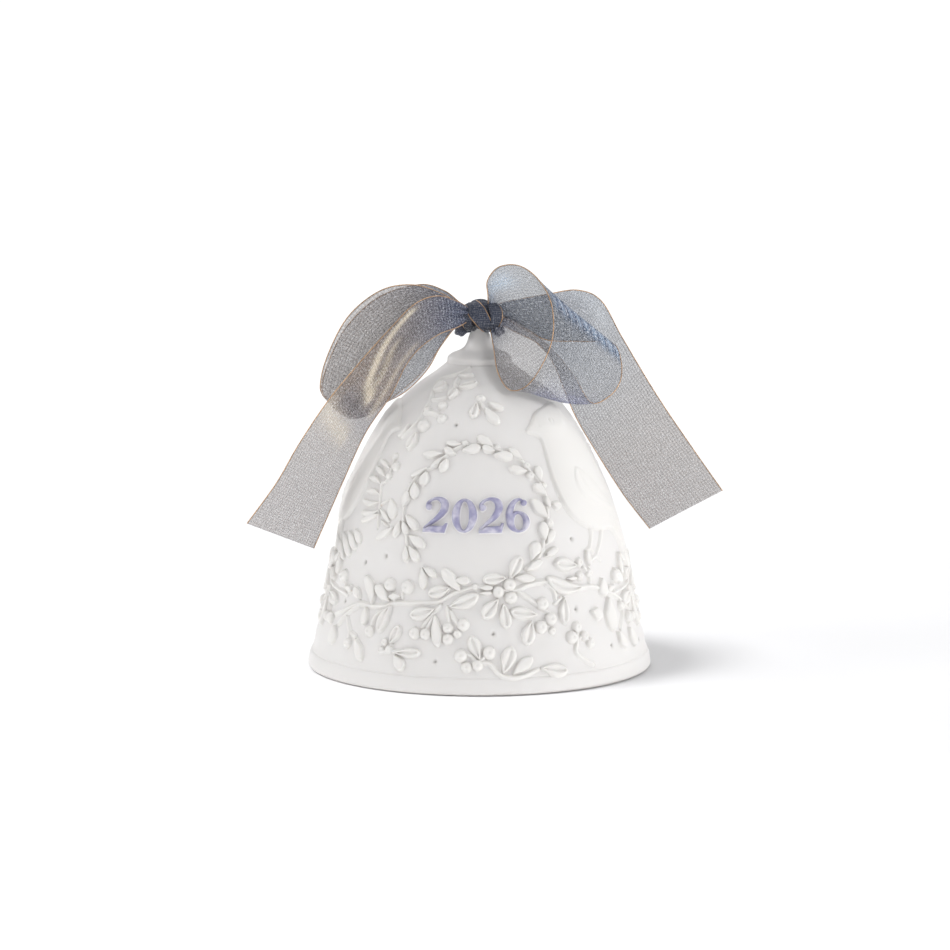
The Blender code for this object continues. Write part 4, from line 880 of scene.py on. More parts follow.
def field_body(xs, ys, keep, lift, to_world, sink=0.22):
    """Closed body over the kept cells of a grid: its top at lift, its base sunk in the wall."""
    nx, ny = len(xs), len(ys)
    keep = keep.reshape(ny, nx)
    cell = keep[:-1, :-1] & keep[1:, :-1] & keep[:-1, 1:] & keep[1:, 1:]
    used = np.zeros((ny, nx), bool)
    used[:-1, :-1] |= cell
    used[1:, :-1] |= cell
    used[:-1, 1:] |= cell
    used[1:, 1:] |= cell
    index = -np.ones((ny, nx), int)
    index[used] = np.arange(used.sum())
    gx, gy = np.meshgrid(xs, ys)
    p = np.stack([gx[used], gy[used]], axis=1)
    count = len(p)
    top = to_world(p, lift.reshape(ny, nx)[used])
    low = to_world(p, np.full(count, -sink))
    faces = []
    jj, ii = np.nonzero(cell)
    q = np.stack([index[jj, ii], index[jj, ii + 1], index[jj + 1, ii + 1], index[jj + 1, ii]], axis=1)
    faces += [tuple(f) for f in q.tolist()]
    faces += [tuple(f[::-1]) for f in (q + count).tolist()]
    edges = {}
    for f in q.tolist():
        for a, b in zip(f, f[1:] + f[:1]):
            if (b, a) in edges:
                del edges[(b, a)]
            else:
                edges[(a, b)] = True
    faces += [(b, a, a + count, b + count) for a, b in edges]
    return np.vstack([top, low]), faces, np.concatenate([np.arange(count), np.arange(count)]), used


# numerals: (across, up) mm about each figure's centre
def figure_two(p):
    d = off_stroke(p, [(-2.05, 1.75), (-2.0, 2.6), (-1.1, 3.5), (0.35, 3.75), (1.75, 2.9), (1.85, 1.3), (0.7, -0.4),
                       (-0.9, -1.8), (-2.25, -3.0)], [1.0, 0.9, 0.7, 0.95, 1.75, 1.85, 1.35, 1.0, 0.8])
    d = np.minimum(d, off_ellipse(p, -1.75, 1.85, 0.85, 0.8))
    base = [(-2.75, -3.95), (2.45, -3.95), (2.95, -1.7), (2.45, -1.7), (1.95, -2.35), (-1.2, -2.45), (-2.75, -3.3)]
    return np.minimum(d, off_polygon(p, base) - 0.05)


def figure_zero(p):
    return np.maximum(off_ellipse(p, 0, 0, 2.85, 3.9), -off_ellipse(p, 0, 0, 1.0, 3.15))


def figure_six(p):
    bowl = np.maximum(off_ellipse(p, 0.05, -1.45, 2.75, 2.5), -off_ellipse(p, 0.15, -1.5, 1.0, 1.75))
    neck = off_stroke(p, [(1.75, 3.1), (0.7, 3.6), (-0.6, 2.9), (-1.6, 1.2), (-1.9, -0.6), (-1.75, -1.8)],
                      [0.6, 0.7, 1.15, 1.65, 1.75, 1.5])
    return np.minimum(np.minimum(bowl, neck), off_ellipse(p, 1.75, 2.75, 0.8, 0.75))


def numeral(name, node_name, centre, shape):
    (angle, z), = cast([centre])
    place = local_map((angle, z), 0)
    xs, ys = np.arange(-3.7, 3.75, 0.13), np.arange(-4.7, 4.75, 0.13)
    gx, gy = np.meshgrid(xs, ys)
    p = np.stack([gx.ravel(), gy.ravel()], axis=1)
    d = shape(p)
    top = 1.1
    rise = smooth((0.12 - d) / 0.62)
    lift = np.where(d < 0.12, top * rise ** 0.8, 0.0) + 0.1 * np.exp(-(np.clip(d, 0, 9) / 0.16) ** 2) - 0.03
    lift += 0.05 * smooth(-d / 0.8)
    verts, faces, source, used = field_body(xs, ys, d < 0.42, lift, lambda q, h: place(q[:, 0], q[:, 1], h))
    obj = mesh_object(name, verts, faces, LILAC)
    painted = smooth((-d.reshape(len(ys), len(xs))[used] + 0.10) / 0.3)
    point_attribute(obj, "face", painted[source])
    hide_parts(node_name)
    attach(obj, "bell")
    return obj


numeral("year_two_first", "numeral_two_first", (-10.1, 34.75), figure_two)
numeral("year_zero", "numeral_zero", (-3.5, 34.6), figure_zero)
numeral("year_two_second", "numeral_two_second", (2.55, 34.6), figure_two)
numeral("year_six", "numeral_six", (8.7, 34.7), figure_six)


# birds: drawn on the wall unrolled at BIRD_R, (run, height) mm. The breast, wing, head and legs
# are laid out on the front elevation, the tail and the back directly as (angle, height).
BIRD_R = 28.0
BREAST = [(16.4, 61.0), (14.1, 59.7), (12.6, 58.5), (12.0, 57.2), (11.5, 55.6), (10.5, 54.2), (12.4, 53.2), (13.8, 52.4),
          (14.8, 49.8), (15.7, 46.2), (17.0, 42.2), (19.0, 37.9), (21.0, 34.9), (23.5, 32.7), (25.8, 31.6),
          (28.2, 31.2), (30.2, 31.4)]
REAR = [(72.0, 30.6), (75.5, 26.4), (80.0, 22.6), (84.0, 21.8), (85.0, 24.6), (83.0, 29.2), (81.0, 33.6), (79.5, 38.4),
        (78.0, 43.2), (76.5, 48.0), (74.5, 52.4), (71.0, 56.2), (66.0, 59.4)]
WING = [(21.4, 45.8), (23.9, 44.2), (26.4, 41.6), (28.3, 39.0), (29.8, 36.2), (26.8, 37.0), (23.6, 39.0), (21.5, 42.2)]


def unrolled(points, drawn=True):
    at = cast(points) if drawn else np.array(points, float)
    return np.stack([np.radians(at[:, 0]) * BIRD_R, at[:, 1]], axis=1)


def bird_height(p):
    outline = spline(np.vstack([unrolled(BREAST), unrolled(REAR, False)]), 150, closed=True)
    wing = spline(unrolled(WING), 70, closed=True)
    d = off_polygon(p, outline)
    body = 0.40 * smooth(-d / 0.5) + 0.62 * np.sqrt(1 - (1 - np.clip(-d / 6.0, 0, 1)) ** 2)
    w = off_polygon(p, wing)
    body += 0.26 * smooth(-w / 0.45) * np.clip(-w, 0, 1) ** 0.2
    for k in range(2):      # feather lines along the wing
        line = [(22.2 + 0.9 * k, 44.4 + 0.5 * k), (23.8 + 1.2 * k, 41.4 + 1.0 * k), (26.6 + 0.9 * k, 38.9 + 0.9 * k),
                (29.2, 36.9)]
        g = off_stroke(p, unrolled(line), [0.05] * 4, 14)
        body -= 0.13 * np.exp(-(np.clip(g, 0, 9) / 0.24) ** 2) * (w < 0)
    for k in range(3):      # tail feathers
        line = [(67.0 + 3.4 * k, 36.5 + 0.6 * k), (73.0 + 2.6 * k, 30.4), (79.0 + 1.8 * k, 25.0 - 0.4 * k)]
        g = off_stroke(p, unrolled(line, False), [0.05] * 3, 12)
        body -= 0.16 * np.exp(-(np.clip(g, 0, 9) / 0.26) ** 2) * (d < 0)
    for k in range(4):      # short feathers down the back
        line = [(66.0 + 1.5 * k, 54.0 - 4.2 * k), (70.0 + 1.4 * k, 51.6 - 4.2 * k), (71.5 + 1.2 * k, 48.4 - 4.2 * k)]
        g = off_stroke(p, unrolled(line, False), [0.05] * 3, 10)
        body -= 0.10 * np.exp(-(np.clip(g, 0, 9) / 0.26) ** 2) * (d < 0)
    (hx, hy), (ex, ey) = unrolled([(16.2, 56.6), (15.8, 56.3)])
    body += 0.22 * smooth(-off_ellipse(p, hx, hy, 6.4, 3.8) / 2.6) * (d < 0)
    eye = np.hypot((p[:, 0] - ex) / 1.4, p[:, 1] - ey)
    body += 0.10 * np.exp(-(eye / 0.32) ** 2) - 0.12 * np.exp(-((eye - 0.62) / 0.18) ** 2)
    beak = off_stroke(p, unrolled([(10.8, 54.3), (13.4, 55.0)]), [0.05, 0.05], 4)
    body -= 0.12 * np.exp(-(np.clip(beak, 0, 9) / 0.18) ** 2)
    strokes = [([(25.7, 32.4), (25.9, 30.0), (25.5, 27.0)], [1.3, 1.0, 0.9]),
               ([(28.2, 31.8), (27.9, 28.6), (27.0, 25.4)], [1.3, 1.0, 0.9]),
               ([(25.5, 27.2), (24.4, 26.2)], [0.8, 0.5]), ([(25.5, 27.2), (26.4, 25.9)], [0.8, 0.5]),
               ([(27.0, 25.6), (26.0, 24.6)], [0.8, 0.5]), ([(27.0, 25.6), (28.0, 24.4)], [0.8, 0.5])]
    legs = np.min([off_stroke(p, unrolled(path), widths, 10) for path, widths in strokes], axis=0)
    thin = 0.42 * smooth((0.12 - legs) / 0.4)
    total = np.maximum(body * (d < 0), thin)
    near = np.minimum(d, legs)
    return total + 0.05 * np.exp(-(np.clip(near, 0, 9) / 0.2) ** 2) - 0.03, near


def bird(name, node_name, mirror=None):
    xs, ys = np.arange(9.6, 42.6, 0.2), np.arange(20.8, 63.0, 0.24)
    gx, gy = np.meshgrid(xs, ys)
    p = np.stack([gx.ravel(), gy.ravel()], axis=1)
    lift, near = bird_height(p)

    def to_world(q, h):
        angle = np.degrees(q[:, 0] / BIRD_R)
        return on_wall(angle if mirror is None else mirror - angle, q[:, 1], h)
    verts, faces, _, _ = field_body(xs, ys, near < 0.45, lift, to_world)
    if mirror is not None:
        faces = [f[::-1] for f in faces]
    obj = mesh_object(name, verts, faces, RELIEF)
    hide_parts(node_name)
    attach(obj, "bell")
    return obj


bird("bird_right_relief", "bird_right")
bird("bird_left_relief", "bird_left", mirror=-25.5)


# ======================================================================================
# clapper train: the CAD wires keep their shape
# ======================================================================================
for name in ("clapper_staple", "clapper_link", "clapper_stem", "clapper_end_crimp"):
    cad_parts[name].data.materials.clear()
    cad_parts[name].data.materials.append(STEEL)
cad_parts["clapper_ball"].data.materials.clear()
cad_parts["clapper_ball"].data.materials.append(GLAZE)


# ======================================================================================
# ribbon
# ======================================================================================
RIBBON_T = 0.13
LOOP_LEFT_A = [(-1.6, -7.2, 83.4), (-4.7, -7.9, 85.0), (-9.0, -9.0, 87.6), (-15.4, -10.5, 89.6), (-22.7, -11.5, 88.3),
               (-30.0, -12.0, 82.4), (-34.8, -11.5, 73.2), (-36.5, -9.5, 66.0), (-35.2, -5.5, 62.8),
               (-36.3, -2.4, 66.4), (-31.6, -0.8, 77.6), (-23.6, -1.0, 85.6), (-14.0, -1.8, 88.8),
               (-8.2, -3.2, 87.6), (-4.6, -4.4, 85.0), (-1.8, -5.8, 83.4)]
LOOP_LEFT_B = [(-1.6, -7.0, 81.6), (-4.8, -7.7, 80.0), (-7.0, -8.2, 78.0), (-9.3, -9.0, 74.7), (-11.3, -9.3, 71.0),
               (-13.6, -9.5, 68.1), (-16.4, -9.5, 65.4), (-19.2, -8.5, 63.5), (-21.4, -5.5, 62.2),
               (-19.4, -2.5, 63.3), (-16.4, -1.5, 65.6), (-13.2, -1.5, 68.6), (-10.6, -2.0, 72.2),
               (-8.0, -3.0, 76.0), (-5.0, -4.3, 79.8), (-1.8, -5.8, 81.6)]
TAIL_LEFT_A = [(-1.8, -8.8, 83.6), (-4.8, -10.1, 85.6), (-9.5, -12.2, 87.2), (-14.7, -14.4, 85.6), (-20.3, -15.6, 80.1),
               (-26.9, -16.0, 72.8), (-34.7, -15.8, 63.3), (-41.3, -15.3, 53.4), (-46.4, -15.0, 44.6), (-53.2, -14.6, 35.2)]
TAIL_LEFT_B = [(-1.8, -8.8, 81.6), (-4.9, -10.1, 79.9), (-9.5, -12.0, 78.3), (-13.8, -12.8, 75.2), (-17.0, -12.8, 71.1),
               (-20.4, -12.2, 64.2), (-26.2, -10.0, 55.4), (-32.0, -7.0, 42.6), (-38.4, -4.6, 27.8)]
LOOP_RIGHT_A = [(2.0, -7.6, 83.4), (1.9, -8.4, 86.9), (1.8, -8.8, 90.4), (4.4, -8.8, 93.5), (9.0, -8.8, 93.8),
                (13.3, -9.3, 90.8), (16.3, -10.8, 85.4), (16.7, -13.2, 78.4), (14.4, -15.6, 72.2), (10.8, -17.0, 67.3),
                (6.9, -16.6, 66.2), (4.2, -14.2, 69.8), (3.2, -10.8, 75.2), (2.4, -8.6, 79.4)]
LOOP_RIGHT_B = [(3.2, -6.6, 82.8), (6.0, -5.6, 81.4), (10.0, -4.6, 79.0), (15.6, -3.4, 76.2), (23.6, -2.8, 75.8),
                (30.6, -3.4, 75.4), (32.5, -5.0, 71.6), (32.3, -7.2, 67.2), (29.8, -9.0, 63.9), (25.4, -10.0, 62.6),
                (21.0, -9.6, 69.6), (14.6, -8.8, 76.6), (8.0, -8.2, 80.9), (3.4, -7.6, 82.2)]
TAIL_RIGHT_A = [(2.2, -6.0, 83.6), (5.6, -4.6, 85.0), (9.8, -2.0, 85.6), (15.8, 1.6, 86.3), (22.8, 6.0, 86.8), (28.4, 8.6, 84.0),
                (33.3, 9.4, 75.4), (41.4, 8.0, 62.0), (49.6, 5.6, 50.0), (56.6, 2.8, 40.2)]
TAIL_RIGHT_B = [(2.2, -6.0, 81.0), (5.8, -4.6, 79.4), (9.1, -1.4, 77.4), (13.3, 2.6, 74.8), (17.1, 7.0, 69.8), (19.9, 10.2, 62.8),
                (22.9, 12.2, 55.8), (27.6, 12.4, 47.8), (33.9, 9.6, 38.2), (39.9, 5.6, 30.8)]
NAVY = np.array((0.022, 0.035, 0.085))
SLATE = np.array((0.155, 0.176, 0.212))
GREY = np.array((0.225, 0.185, 0.168))
GOLD = np.array((0.30, 0.22, 0.14))
BLUE = np.array((0.13, 0.19, 0.31))
LAVENDER = np.array((0.20, 0.21, 0.34))


def blend_tint(a, b, w):
    return a + (b - a) * np.asarray(w)[..., None]


def ribbon(name, nodes, edge_a, edge_b, count, rows, shape, finish, paired=False, sag=None):
    """A sheer strip between two edges. shape(u, v) gives its own rise along the normal in mm,
    finish(u, v) its (tint, cover). u runs 0..1 along it and v 0..1 across. Paired edges keep
    each handle of one opposite the same handle of the other."""
    if paired:
        both = spline(np.hstack([edge_a, edge_b]), count)
        a, b = both[:, :3], both[:, 3:]
    else:
        a, b = spline(edge_a, count), spline(edge_b, count)
    v = np.linspace(0, 1, rows)
    u = np.linspace(0, 1, count)
    grid = a[:, None, :] * (1 - v)[None, :, None] + b[:, None, :] * v[None, :, None]
    du = np.gradient(grid, axis=0)
    dv = np.gradient(grid, axis=1)
    normal = normalised(np.cross(du, dv))
    uu, vv = np.meshgrid(u, v, indexing="ij")
    if sag is not None:
        grid = grid + sag(uu, vv)
    grid = grid + normal * shape(uu, vv)[..., None]
    normal = normalised(np.cross(np.gradient(grid, axis=0), np.gradient(grid, axis=1)))
    top, low = grid + normal * RIBBON_T / 2, grid - normal * RIBBON_T / 2
    verts = np.vstack([top.reshape(-1, 3), low.reshape(-1, 3)])
    off = count * rows
    i, k = np.meshgrid(np.arange(count - 1), np.arange(rows - 1), indexing="ij")
    p = (i * rows + k).ravel()
    q = np.stack([p, p + rows, p + rows + 1, p + 1], axis=1)
    faces = [tuple(f) for f in q.tolist()] + [tuple(f[::-1]) for f in (q + off).tolist()]
    for n in range(count - 1):
        for col in (0, rows - 1):
            s, e = n * rows + col, (n + 1) * rows + col
            faces.append((s, s + off, e + off, e) if col == 0 else (e, e + off, s + off, s))
    for row in (0, count - 1):
        for col in range(rows - 1):
            s, e = row * rows + col, row * rows + col + 1
            faces.append((e, e + off, s + off, s) if row == 0 else (s, s + off, e + off, e))
    obj = mesh_object(name, verts, faces, ORGANZA)
    middle = 0.5 * (a + b)
    length = np.concatenate([[0], np.cumsum(np.linalg.norm(np.diff(middle, axis=0), axis=1))])
    weave = np.stack([np.broadcast_to(length[:, None], uu.shape), vv * 20.0, np.zeros_like(uu)], axis=-1).reshape(-1, 3)
    tint, cover = finish(uu, vv)
    tint = np.broadcast_to(tint, uu.shape + (3,)).reshape(-1, 3)
    tint = np.concatenate([tint, np.ones((len(tint), 1))], axis=1)
    cover = np.broadcast_to(cover, uu.shape).ravel()
    point_attribute(obj, "weave", np.vstack([weave, weave]), "FLOAT_VECTOR")
    point_attribute(obj, "tint", np.vstack([tint, tint]), "FLOAT_COLOR")
    point_attribute(obj, "cover", np.concatenate([cover, cover]))
    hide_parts(*nodes)
    return obj, grid


def bead(p, r=0.14, sides=8):
    """A fine round body along a line."""
    n = len(p)
    size = np.broadcast_to(r, n)
    along = normalised(np.gradient(p, axis=0))
    verts, faces = [], []
    guide = np.array([0.0, 0.0, 1.0])
    for i in range(n):
        side = np.cross(along[i], guide)
        if np.linalg.norm(side) < 1e-3:
            side = np.cross(along[i], (1.0, 0.2, 0.0))
        side = side / np.linalg.norm(side)
        guide = np.cross(side, along[i])
        t = np.arange(sides) * 2 * math.pi / sides
        verts.append(p[i] + size[i] * (np.cos(t)[:, None] * side + np.sin(t)[:, None] * guide))
    for i in range(n - 1):
        for k in range(sides):
            m = (k + 1) % sides
            faces.append((i * sides + k, i * sides + m, (i + 1) * sides + m, (i + 1) * sides + k))
    faces.append(tuple(range(sides - 1, -1, -1)))
    faces.append(tuple(range((n - 1) * sides, n * sides)))
    return np.vstack(verts), faces


def cord(name, node_name, line, r=0.12):
    """The corded copper edge, a fine round bead along the strip's own edge."""
    verts, faces = bead(line, r)
    obj = mesh_object(name, verts, faces, SELVEDGE)
    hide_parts(node_name)
    return obj


def near_knot(u, length, reach):
    """1 at the knot, fading over reach mm, for a strip tied at u = 0."""
    return np.exp(-(u * length / reach) ** 1.5)


def pleats(u, v, length, reach=9.0, folds=3.5, height=0.55, phase=0.4):
    fade = smooth(u * length / 2.0) * np.exp(-u * length / reach)
    return height * fade * np.sin(2 * math.pi * folds * v + phase) * np.sin(math.pi * np.clip(v, 0, 1)) ** 0.4


def loop_shape(length, sign=1.0):
    def shape(u, v):
        both = pleats(u, v, length, 11.0) + pleats(1 - u, v, length, 11.0, phase=1.9)
        belly = 0.9 * np.sin(math.pi * v) * np.sin(math.pi * u) ** 0.5
        wave = 0.25 * np.sin(2 * math.pi * 2.5 * u + 2.0 * v) * np.sin(math.pi * v)
        return sign * belly + both + wave * np.sin(math.pi * u)
    return shape


# cream is the colour of painted highlights on the left tail; plum is painted shade on it
CREAM_HIGHLIGHT = np.array((0.80, 0.70, 0.54))
BROWN = np.array((0.225, 0.158, 0.115))
PLUM_OVERLAP_SHADE = np.array((0.12, 0.095, 0.11))
PALE = np.array((0.42, 0.46, 0.50))


def streak(u, v, path, reach):
    """How close (u, v) is to a path drawn on the cloth, 1 on it."""
    line = spline(path, 30)
    near = np.full(np.shape(u), 9.0)
    for i in range(len(line) - 1):
        a, e = line[i], line[i + 1] - line[i]
        wu, wv = (u - a[0]) / 0.5, v - a[1]
        eu, ev = e[0] / 0.5, e[1]
        t = np.clip((wu * eu + wv * ev) / (eu * eu + ev * ev + 1e-12), 0, 1)
        near = np.minimum(near, np.hypot(wu - eu * t, wv - ev * t))
    return np.exp(-(near / reach) ** 2)


def left_loop_finish(u, v):
    knot = np.maximum(near_knot(u, 126, 14), near_knot(1 - u, 126, 24))
    tint = blend_tint(GREY, SLATE, 0.7 * smooth((v - 0.3) / 0.6))
    tint = blend_tint(tint, BLUE, 0.5 * np.exp(-((v - 0.04) / 0.10) ** 2) * smooth((u - 0.72) / 0.12))
    tint = blend_tint(tint, NAVY * 1.6, np.clip(knot * 1.15, 0, 1))
    return tint, 0.30 + 0.11 * smooth((0.56 - u) / 0.1) + 0.42 * knot


def left_tail_finish(u, v):
    knot = near_knot(u, 82, 16)
    warm = np.exp(-((u - 0.42) / 0.17) ** 2)
    tint = blend_tint(GREY * 1.05, BROWN * 1.25, np.clip(warm * 1.1, 0, 1))
    # painted shade: a dark plum band where the left loop's bottom lies over the tail
    tint = blend_tint(tint, PLUM_OVERLAP_SHADE, 0.85 * np.exp(-((u - 0.53) / 0.06) ** 2) * smooth((v - 0.05) / 0.2))
    # painted highlights: cream-gold streaks where the tail's creases and folds catch the light
    gold_highlight = streak(u, v, [(0.22, 0.10), (0.29, 0.12), (0.36, 0.22), (0.43, 0.42), (0.46, 0.62)], 0.052)
    gold_highlight = np.maximum(gold_highlight, 0.55 * streak(u, v, [(0.30, 0.40), (0.37, 0.52), (0.44, 0.55)], 0.055))
    gold_highlight = np.maximum(gold_highlight, 0.50 * streak(u, v, [(0.585, 0.02), (0.60, 0.25), (0.615, 0.6)], 0.085))
    gold_highlight = np.maximum(gold_highlight, 0.45 * streak(u, v, [(0.24, 0.85), (0.36, 0.80), (0.48, 0.86)], 0.06))
    tint = blend_tint(tint, NAVY * 1.5, np.clip(knot * 1.2, 0, 1) * (1 - 0.6 * gold_highlight))
    tint = blend_tint(tint, CREAM_HIGHLIGHT * 1.1, np.clip(gold_highlight * 1.25, 0, 1) * 0.92)
    return tint, 0.45 + 0.30 * knot + 0.08 * warm + 0.16 * gold_highlight


def right_loop_finish(u, v):
    knot = np.maximum(near_knot(u, 124, 9), near_knot(1 - u, 124, 7))
    tint = blend_tint(SLATE, GREY * 1.15, smooth((u - 0.50) / 0.3) * 0.6)
    fold = np.exp(-((u - 0.393) / 0.032) ** 2) * smooth((v - 0.02) / 0.1)
    low = np.exp(-((u - 0.665) / 0.05) ** 2) * smooth((v - 0.05) / 0.2)
    left = streak(u, v, [(0.07, 0.12), (0.11, 0.14), (0.15, 0.16)], 0.10)
    stripes = smooth(0.5 + 0.9 * np.sin(2 * math.pi * v * 17))
    tint = blend_tint(tint, np.array((0.028, 0.06, 0.14)), np.clip(fold * 1.5, 0, 1))
    tint = blend_tint(tint, np.array((0.30, 0.40, 0.54)), np.clip(fold * 1.3, 0, 1) * stripes * 0.8)
    tint = blend_tint(tint, LAVENDER * 1.2, np.clip(low * 0.9, 0, 1))
    tint = blend_tint(tint, np.array((0.30, 0.45, 0.62)), left * 0.75)
    tint = blend_tint(tint, NAVY * 1.6, np.clip(knot * 1.1, 0, 1))
    layer = 0.48 - 0.28 * smooth((u - 0.36) / 0.07) + 0.26 * smooth((u - 0.68) / 0.10)
    return tint, layer + 0.35 * knot + 0.62 * fold + 0.22 * low


def right_tail_finish(u, v):
    knot = near_knot(u, 90, 19)
    tint = blend_tint(SLATE * 1.1, GREY * 1.12, smooth((u - 0.4) / 0.4))
    # painted highlight: a pale streak along the upper edge where the tail bends over
    bright_highlight = streak(u, v, [(0.24, 0.02), (0.32, 0.05), (0.38, 0.12)], 0.10)
    tint = blend_tint(tint, PALE * 1.2, 0.6 * bright_highlight)
    tint = blend_tint(tint, NAVY * 1.7, np.clip(knot * 1.1, 0, 1))
    return tint, 0.46 + 0.28 * knot + 0.09 * np.exp(-((u - 0.32) / 0.12) ** 2)


def left_tail_shape(u, v):
    crease = -1.1 * np.exp(-((v - 0.42) / 0.10) ** 2) * smooth((u - 0.10) / 0.2) * (1 - smooth((u - 0.5) / 0.3))
    belly = 1.0 * np.sin(math.pi * v) * np.sin(math.pi * u) ** 0.5
    return belly + crease + pleats(u, v, 82, 12.0, 3.0)


def right_tail_shape(u, v):
    belly = -0.9 * np.sin(math.pi * v) * np.sin(math.pi * u) ** 0.5
    wave = 0.35 * np.sin(2 * math.pi * 1.6 * u + 1.0) * np.sin(math.pi * v)
    return belly + wave + pleats(u, v, 90, 13.0, 3.0)


def left_loop_sag(u, v):
    """Its turn hangs in a belly below the straight line between the two edges."""
    low = 3.4 * np.exp(-((u - 0.495) / 0.075) ** 2) * 4 * v * (1 - v)
    return low[..., None] * np.array([-0.1, 0.0, -1.0])


def right_loop_sag(u, v):
    """The loop's lower fold hangs in a shallow belly and its upper one stands proud."""
    across = 4 * v * (1 - v)
    low = 2.6 * np.exp(-((u - 0.655) / 0.085) ** 2) * across
    high = 0.7 * np.exp(-((u - 0.385) / 0.08) ** 2) * across
    return low[..., None] * np.array([0.0, 0.0, -1.0]) + high[..., None] * np.array([0.6, 0.0, 0.8])


obj, grid = ribbon("bow_loop_left", ["loop_left"], LOOP_LEFT_A, LOOP_LEFT_B, 210, 27, loop_shape(126), left_loop_finish, False, left_loop_sag)
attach(obj, "bow")
for cad, col in (("loop_left_outer_wire", 0), ("loop_left_inner_wire", -1)):
    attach(cord("selvedge_" + cad.replace("_wire", ""), cad, grid[:, col]), "bow")
obj, grid = ribbon("bow_loop_right", ["loop_right"], LOOP_RIGHT_A, LOOP_RIGHT_B, 210, 27, loop_shape(124, -1.0), right_loop_finish, True, right_loop_sag)
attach(obj, "bow")
sunk = 0.12 - 0.075 * smooth((np.linspace(0, 1, 210) - 0.68) / 0.05)      # drawn into the cloth on its way back
for cad, col, r in (("loop_right_front_wire", 0, 0.12), ("loop_right_rear_wire", -1, sunk)):
    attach(cord("selvedge_" + cad.replace("_wire", ""), cad, grid[:, col], r), "bow")
obj, grid = ribbon("bow_tail_left", ["tail_left"], TAIL_LEFT_A, TAIL_LEFT_B, 150, 27, left_tail_shape, left_tail_finish)
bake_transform(obj)
for cad, col in (("tail_left_outer_wire", 0), ("tail_left_inner_wire", -1)):
    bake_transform(cord("selvedge_" + cad.replace("_wire", ""), cad, grid[:, col]))
obj, grid = ribbon("bow_tail_right", ["tail_right"], TAIL_RIGHT_A, TAIL_RIGHT_B, 150, 27, right_tail_shape, right_tail_finish)
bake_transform(obj)
for cad, col in (("tail_right_outer_wire", 0), ("tail_right_inner_wire", -1)):
    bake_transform(cord("selvedge_" + cad.replace("_wire", ""), cad, grid[:, col]))


# ======================================================================================
# knot
# ======================================================================================
KNOT_C = np.array([0.6, -7.1, 82.0])


def knot_finish(verts, along, across, light):
    weave = np.stack([along, across, np.zeros_like(along)], axis=-1)
    # painted light: the navy is paler where 'light' is high, on the knot's lit side
    tint = blend_tint(NAVY * 0.8, np.array((0.07, 0.10, 0.19)), light)
    return weave, np.concatenate([tint, np.ones(tint.shape[:-1] + (1,))], axis=-1)


def wrap(name, path, widths, normals, thick=0.9, folds=3.0, count=90, rows=25, light=0.4, phase=0.0):
    """A gathered band of cloth laid along a path, pleated lengthwise, with tucked edges."""
    line = spline(path, count)
    face = normalised(spline(normals, count))
    width = spline(np.array(widths, float)[:, None].repeat(2, axis=1) + [[0, k * 1e-3] for k in range(len(widths))], count)[:, 0]
    along = normalised(np.gradient(line, axis=0))
    side = normalised(np.cross(face, along))
    face = normalised(np.cross(along, side))
    t = np.arange(rows) / rows * 2 * math.pi
    verts = []
    for i in range(count):
        c, s = np.cos(t), np.sin(t)
        wide = 0.5 * width[i] * np.sign(c) * np.abs(c) ** 0.75
        ripple = 0.24 * np.sin(2 * math.pi * folds * (wide / max(width[i], 0.1)) + phase + 0.02 * i)
        deep = thick * (s * 0.55) + np.where(s > 0, ripple * np.abs(s) ** 0.5, 0)
        end = math.sin(math.pi * min(max(i / (count - 1), 0.02), 0.98)) ** 0.3
        verts.append(line[i] + side[i] * (wide * end)[:, None] + face[i] * (deep * end)[:, None])
    grid = np.array(verts)
    faces = []
    for i in range(count - 1):
        for k in range(rows):
            m = (k + 1) % rows
            faces.append((i * rows + k, i * rows + m, (i + 1) * rows + m, (i + 1) * rows + k))
    faces.append(tuple(range(rows - 1, -1, -1)))
    faces.append(tuple(range((count - 1) * rows, count * rows)))
    return grid.reshape(-1, 3), faces, count, rows, light


